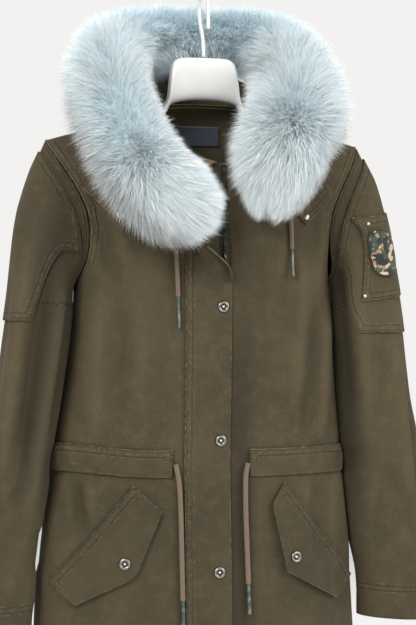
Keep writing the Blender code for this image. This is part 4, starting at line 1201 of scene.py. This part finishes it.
def slider():
    """A dark slider body with rounded ends, and a copper bead at its foot."""
    low, high = (np.array(corner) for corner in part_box("zip_slider"))
    middle, half = (low + high) / 2, (high - low) / 2
    bm = bmesh.new()
    bmesh.ops.create_cube(bm, size=2)
    bmesh.ops.scale(bm, vec=(half[0] * 0.62, half[1] * 0.9, half[2] * 0.9), verts=bm.verts)
    bmesh.ops.bevel(bm, geom=bm.edges, offset=half[1] * 0.5, segments=3, affect="EDGES")
    bmesh.ops.translate(bm, vec=middle, verts=bm.verts)
    body = new_object("zip_slider_body", mesh_from(bm, "zip_slider_body"), TOOTH_METAL)
    bm = bmesh.new()
    bmesh.ops.create_uvsphere(bm, u_segments=20, v_segments=12, radius=0.0023)
    bmesh.ops.translate(bm, vec=(middle[0], low[1] - 0.0004, low[2] + 0.0030), verts=bm.verts)
    bead = new_object("zip_bead", mesh_from(bm, "zip_bead"), COPPER)
    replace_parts(body, "zip_slider")
    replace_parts(bead, "zip_slider")


slider()


# ---- fur ----
# Dyed fox fur sewn along the edge of the hood: a woolly undercoat close to the skin, and long
# tapered guard hairs that stand together in tufts and part in whorls.
# The pile's spine, from the right front end over the back of the neck to the left front end: x, y, z
# and reach in millimetres.
SPINE = metres([
    (-4, -114, -302, 14), (-14, -115, -301, 34), (-32, -118, -298, 50), (-55, -119, -290, 61),
    (-82, -117, -270, 66), (-106, -108, -236, 67), (-124, -88, -190, 66), (-131, -52, -143, 64),
    (-123, -8, -104, 62), (-99, 40, -76, 56), (-59, 71, -59, 49), (-10, 84, -52, 46), (36, 84, -52, 47),
    (80, 68, -60, 52), (109, 34, -80, 59), (119, -10, -110, 66), (113, -55, -150, 71), (101, -90, -191, 72),
    (87, -110, -230, 70), (75, -117, -261, 63), (66, -117, -286, 50), (60, -116, -304, 31),
    (58, -116, -313, 12),
])
LAST = len(SPINE) - 1
CORE_SHARE = 0.50
HAIRS = 180000
HAIR_PIECES = 5
TUFTS = 6500

# Bluer whorls in the pile, and partings darkened with painted shade: x, y, z, radius, and strength.
WHORLS = (
    (-0.162, -0.060, -0.106, 0.030, 0.9), (-0.165, -0.120, -0.180, 0.030, 0.9),
    (-0.129, -0.150, -0.207, 0.028, 0.9), (-0.106, -0.165, -0.245, 0.024, 0.7),
    (0.089, -0.130, -0.177, 0.036, 1.0), (0.060, -0.150, -0.225, 0.022, 0.5),
    (-0.100, -0.120, -0.130, 0.024, 0.4),
)
PARTINGS = (
    (-0.045, 0.020, -0.078, 0.018), (0.057, 0.029, -0.106, 0.012), (0.054, 0.005, -0.106, 0.012),
    (0.054, -0.018, -0.105, 0.012), (0.056, -0.041, -0.101, 0.011), (0.063, -0.058, -0.096, 0.010),
)
LEFTWARD, RIGHTWARD, DOWNWARD = (0.974, -0.225, 0.0), (-0.974, 0.225, 0.0), (0.0, 0.0, -1.0)

# Where the pile is combed longer or clipped shorter: first and last station, direction, gain.
TRIMS = (
    (3.2, 8.6, LEFTWARD, -0.15), (-2.0, 3.2, LEFTWARD, -0.11), (4.6, 8.8, RIGHTWARD, 0.09),
    (9.2, 12.5, DOWNWARD, 0.26), (16.8, 20.2, RIGHTWARD, 0.15), (17.4, 24.0, LEFTWARD, -0.22),
    (20.2, 24.0, DOWNWARD, 0.06), (1.2, 4.6, (-0.6, -0.2, -0.8), 0.07),
)


def spine_at(place):
    """(x, y, z, reach) at fractional stations, smoothly."""
    i = np.clip(np.floor(place).astype(int), 0, LAST - 1)
    t = (place - i)[:, None]
    p0, p1 = SPINE[np.maximum(i - 1, 0)], SPINE[i]
    p2, p3 = SPINE[i + 1], SPINE[np.minimum(i + 2, LAST)]
    return catmull(p0, p1, p2, p3, t)


def fur_frame(place):
    """Spine point, direction along it, inward and third direction, and reach."""
    here = spine_at(place)
    ahead, before = spine_at(np.minimum(place + 0.3, LAST)), spine_at(np.maximum(place - 0.3, 0.0))
    along = unit((ahead - before)[:, :3])
    centre = np.stack([0 * place, 0 * place + 0.01, here[:, 2] - 0.02], 1)
    inward = centre - here[:, :3]
    inward = unit(inward - along * np.sum(inward * along, 1, keepdims=True))
    return here[:, :3], along, inward, np.cross(along, inward), here[:, 3]


def fur_core():
    """The dense underwool that the hairs stand in."""
    stations, around = 72, 28
    spot, _, inward, third, reach = fur_frame(np.linspace(1.6, 20.4, stations))
    reach = reach * CORE_SHARE * 1.15
    rings = [spot[k] + circle(around, inward[k], third[k]) * reach[k] for k in range(stations)]
    mesh = tidied(mesh_of("fur_undercoat", np.concatenate(rings), tube_quads(stations, around)), close=True)
    look = Look("fur_underwool", 0.95)
    look.colour(look.mix(look.span(look.noise(220.0, 4.0), 0.35, 0.7), "#b3c8d1", "#d3e0e5"))
    look.bump((look.noise(420.0, 4.0), 1.0, 0.003))
    return new_object("fur_undercoat", mesh, look.mat)


def fur_look():
    look = Look("fur_hair", 0.55, Sheen_Weight=0.3, Sheen_Roughness=0.4, Specular_IOR_Level=0.35)
    look.colour(look.attribute("tint", "Color"))
    return look.mat


def near_any(points, rows):
    """How near each point is to the nearest of the rows (x, y, z, radius[, strength]), 0 to 1."""
    best = np.zeros(len(points))
    for row in rows:
        off = np.linalg.norm(points - np.array(row[:3]), axis=1) / row[3]
        best = np.maximum(best, (row[4] if len(row) > 4 else 1.0) * np.exp(-(off**2)))
    return best


HAIR_SHARES, HAIR_WIDTHS, HAIR_WIDTH = (0.0, 0.60, 1.0), (1.0, 0.78), 0.00048
GUARD_SHARE, GUARD_EXTRA = 0.12, 0.07


def hair_colours(place, spot, out, tips, guard, tone):
    """A colour at each of a hair's shares: blue, paler to its tip, with dark tips on some guard hairs and
    brown painted shade underneath, in the partings and on the lower outer side.
    """
    behind = smooth(spot[:, 1], 0.0, 0.05)
    pale, blue, grey, brown = (np.array(srgb(c)) for c in ("#edf1f1", "#c0dae4", "#b3c6ce", "#5f4f43"))
    bluer = np.clip(0.08 + 0.75 * behind + 0.65 * near_any(tips, WHORLS), 0, 1)
    # Painted shade: brown on hairs that face back and down, towards the cloth under the pile.
    under = smooth(out @ unit(np.array([0.0, 0.80, -0.50])), 0.30, 0.90) * (1 - 0.7 * behind)
    # Painted shade in the partings between tufts.
    parting_shade = near_any(tips, PARTINGS)
    dark_tips_and_painted_shade = np.clip(0.70 * under + 0.75 * parting_shade, 0, 1) * (RNG.random(HAIRS) < 0.8)
    dark_tips_and_painted_shade = np.where(guard, np.maximum(dark_tips_and_painted_shade, 0.55 * RNG.random(HAIRS)), dark_tips_and_painted_shade)
    # Painted shade: brown tips where the pile faces down and outward, on its lower outer side.
    outer = np.stack([0.7 * np.sign(spot[:, 0]), 0 * place + 0.1, 0 * place - 0.7], 1)
    lower_side_shade = smooth(np.sum(out * outer, 1), 0.55, 0.92) * (1 - behind) * (RNG.random(HAIRS) < 0.65)
    dark_tips_and_painted_shade = np.maximum(dark_tips_and_painted_shade, lower_side_shade)
    ends_pale = 0.92 - 0.50 * bluer
    colours = []
    for s in HAIR_SHARES:
        body_tone = (blue * bluer[:, None] + (0.45 * blue + 0.55 * pale) * (1 - bluer[:, None]))
        root_mix = smooth(s, 0.0, 0.45)
        tip_mix = smooth(s, 0.10, 0.90) * ends_pale * (0.60 + 0.55 * tone)
        colour = grey * (1 - root_mix) + body_tone * root_mix
        colour = colour * (1 - tip_mix[:, None]) + pale * tip_mix[:, None]
        dark = (dark_tips_and_painted_shade * (0.25 + 0.70 * s))[:, None] * 0.8
        colours.append(colour * (1 - dark) + brown * dark)
    return np.stack(colours, 1)


def hair_pieces():
    """Tapered hairs in tufts, rooted in the underwool and combed outward."""
    steps = np.linspace(0, LAST, 400)
    density = np.interp(steps, np.arange(LAST + 1), SPINE[:, 3] ** 1.5) + 0.003
    cumulative = np.cumsum(density) / density.sum()

    def places(count):
        return np.interp(RNG.random(count), cumulative, steps)

    tuft_place, tuft_turn = places(TUFTS), RNG.random(TUFTS) * 2 * math.pi
    tuft_lean = RNG.normal(0, 0.15, (TUFTS, 2))
    tuft_long = RNG.normal(1.0, 0.05, TUFTS)
    tuft_tone = RNG.normal(0, 1, TUFTS)
    pick = RNG.integers(0, TUFTS, HAIRS)
    place = np.clip(tuft_place[pick] + RNG.normal(0, 0.17, HAIRS), 0, LAST)
    turn = tuft_turn[pick] + RNG.normal(0, 0.11, HAIRS)
    spot, along, inward, third, reach = fur_frame(place)
    out = np.cos(turn)[:, None] * inward + np.sin(turn)[:, None] * third
    # Roots crowd together short of both ends, so that the hair fans out over them.
    inner_place = np.interp(place, (0, 2, 5, 17, 20, 22), (1.8, 3.1, 5.0, 17.0, 19.0, 20.3))
    root_spot, _, root_inward, root_third, root_reach = fur_frame(inner_place)
    root_out = np.cos(turn)[:, None] * root_inward + np.sin(turn)[:, None] * root_third
    root = root_spot + root_out * (root_reach * CORE_SHARE)[:, None]
    share = np.clip(tuft_long[pick] * RNG.normal(0.965, 0.03, HAIRS), 0.80, 1.04)
    # A share of the pile is shorter, and a few guard hairs stand out beyond it.
    share *= 1 - 0.22 * RNG.random(HAIRS) * (RNG.random(HAIRS) < 0.45)
    guard = RNG.random(HAIRS) < GUARD_SHARE
    share = np.where(guard, share + GUARD_EXTRA, share)
    for first, last, direction, gain in TRIMS:
        facing = smooth(out @ unit(np.array(direction)), 0.15, 0.75)
        share *= 1 + gain * facing * window(place, first - 0.6, first + 0.6, last - 0.6, last + 0.6)
    tip = spot + out * (reach * share)[:, None]
    length = np.linalg.norm(tip - root, axis=1)
    round_way = np.cross(along, out)
    lean = tuft_lean[pick] + RNG.normal(0, 0.07, (HAIRS, 2))
    tip += (lean[:, :1] * along + lean[:, 1:] * round_way) * (0.8 * length)[:, None]
    # The comb lays the pile down the fronts and back over the neck, and gravity bends the tips.
    comb = along * (0.16 * (smooth(place, 16, 19) - smooth(-place, -6, -3)))[:, None]
    comb[:, 2] -= 0.16
    comb[:, 1] += 0.20 * smooth(spot[:, 1], -0.02, 0.06)
    comb[:, 0] += 0.08 * np.sign(spot[:, 0]) * smooth(-spot[:, 1], 0.0, 0.08)
    behind = smooth(spot[:, 1], 0.0, 0.05)
    curl = RNG.normal(0, 0.05, (HAIRS, 3))
    curl += 0.10 * RNG.normal(0, 1, (TUFTS, 3))[pick] * behind[:, None]
    width = HAIR_WIDTH * (0.75 + 0.5 * RNG.random(HAIRS)) * 1.0
    path = []
    for s in HAIR_SHARES:
        bend = comb * (s**3 - 0.75 * s) + curl * math.sin(math.pi * s)
        path.append(root + (tip - root) * s + bend * length[:, None])
    path = np.stack(path, 1)
    side = unit(np.cross(unit(tip - root), RNG.normal(0, 1, (HAIRS, 3))))
    tone = np.clip(0.5 + 0.15 * tuft_tone[pick] + RNG.normal(0, 0.10, HAIRS), 0, 1)
    colours = hair_colours(place, spot, out, path[:, -1], guard, tone)
    mat = fur_look()
    for part in range(HAIR_PIECES):
        rows = slice(part, None, HAIR_PIECES)
        spine, across, wide, tint = path[rows], side[rows], width[rows], colours[rows]
        count = len(spine)
        points = np.empty((count, 5, 3))
        colour = np.ones((count, 5, 4))
        for k in range(2):
            half = across * (wide * HAIR_WIDTHS[k] / 2)[:, None]
            points[:, 2 * k] = spine[:, k] - half
            points[:, 2 * k + 1] = spine[:, k] + half
            colour[:, 2 * k : 2 * k + 2, :3] = tint[:, k : k + 1]
        points[:, 4] = spine[:, 2]
        colour[:, 4, :3] = tint[:, 2]
        base = (np.arange(count) * 5)[:, None]
        faces = np.concatenate([base + np.array(f) for f in ((0, 1, 3), (0, 3, 2), (2, 3, 4))])
        mesh = mesh_of(f"fur_hair_{part + 1}", points.reshape(-1, 3), faces)
        layer = mesh.color_attributes.new("tint", "FLOAT_COLOR", "POINT")
        layer.data.foreach_set("color", colour.reshape(-1))
        shade(mesh)
        new_object(f"fur_hair_{part + 1}", mesh, mat)


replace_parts(fur_core(), "fur_trim")
hair_pieces()


# ---- light, floor, backdrop and camera ----
# A pale floor of paper and a pale world behind it under four large soft lamps, and a camera that looks at
# the coat from a little to its right, at the height of its waist.
AZIMUTH = math.radians(-13)
RIGHT = Vector((math.cos(AZIMUTH), math.sin(AZIMUTH), 0))
AHEAD = Vector((-math.sin(AZIMUTH), math.cos(AZIMUTH), 0))
DISTANCE, FRAME_HEIGHT, SENSOR = 2.3, 0.83125, 36.0
TARGET = Vector((0, 0, -0.4316)) + RIGHT * 0.00599
camera_data = bpy.data.cameras.new("camera")
camera_data.sensor_width = SENSOR
camera_data.lens = SENSOR * DISTANCE / FRAME_HEIGHT
camera_data.clip_end = 50
camera = placed("camera", camera_data)
camera.location = TARGET - AHEAD * DISTANCE
camera.rotation_euler = AHEAD.to_track_quat("-Z", "Y").to_euler()
bpy.context.scene.camera = camera


def plain_stage(name, points, quads, colour):
    mesh = mesh_of(name, np.array(points, float), quads)
    look = Look(name, 0.9)
    look.colour(colour)
    mesh.materials.append(look.mat)
    placed(name, mesh)


FLOOR = -1.25
corners = [(x, y, FLOOR) for x, y in ((-6, -6), (6, -6), (6, 6), (-6, 6))]
plain_stage("floor", corners, [(0, 1, 2, 3)], "#f2f2f1")


def area_light(name, place, height, size, power):
    """A round light at a place, turned to a height on the coat."""
    data = bpy.data.lights.new(name, "AREA")
    data.shape = "DISK"
    data.size = size
    data.energy = power
    obj = placed(name, data)
    obj.location = place
    obj.rotation_euler = (Vector((0, 0, height)) - Vector(place)).to_track_quat("-Z", "Y").to_euler()


area_light("key", (-1.9, -2.4, 1.3), -0.4, 1.5, 92)
area_light("fill", (2.1, -2.1, 0.7), -0.45, 1.7, 52)
area_light("top", (0.2, -0.5, 2.2), -0.3, 1.3, 34)
area_light("rim", (0.3, 2.2, 1.0), -0.3, 1.6, 20)
world = bpy.data.worlds.new("studio")
world.use_nodes = True
background = world.node_tree.nodes["Background"]
background.inputs["Color"].default_value = (*srgb("#f7f6f5"), 1)
background.inputs["Strength"].default_value = 0.62
seen = world.node_tree.nodes.new("ShaderNodeMath")
seen.operation = "MULTIPLY_ADD"
seen.inputs[1].default_value, seen.inputs[2].default_value = 0.36, 0.60
rays = world.node_tree.nodes.new("ShaderNodeLightPath")
world.node_tree.links.new(rays.outputs["Is Camera Ray"], seen.inputs[0])
world.node_tree.links.new(seen.outputs[0], background.inputs["Strength"])
bpy.context.scene.world = world
bpy.context.scene.view_settings.view_transform = "Standard"
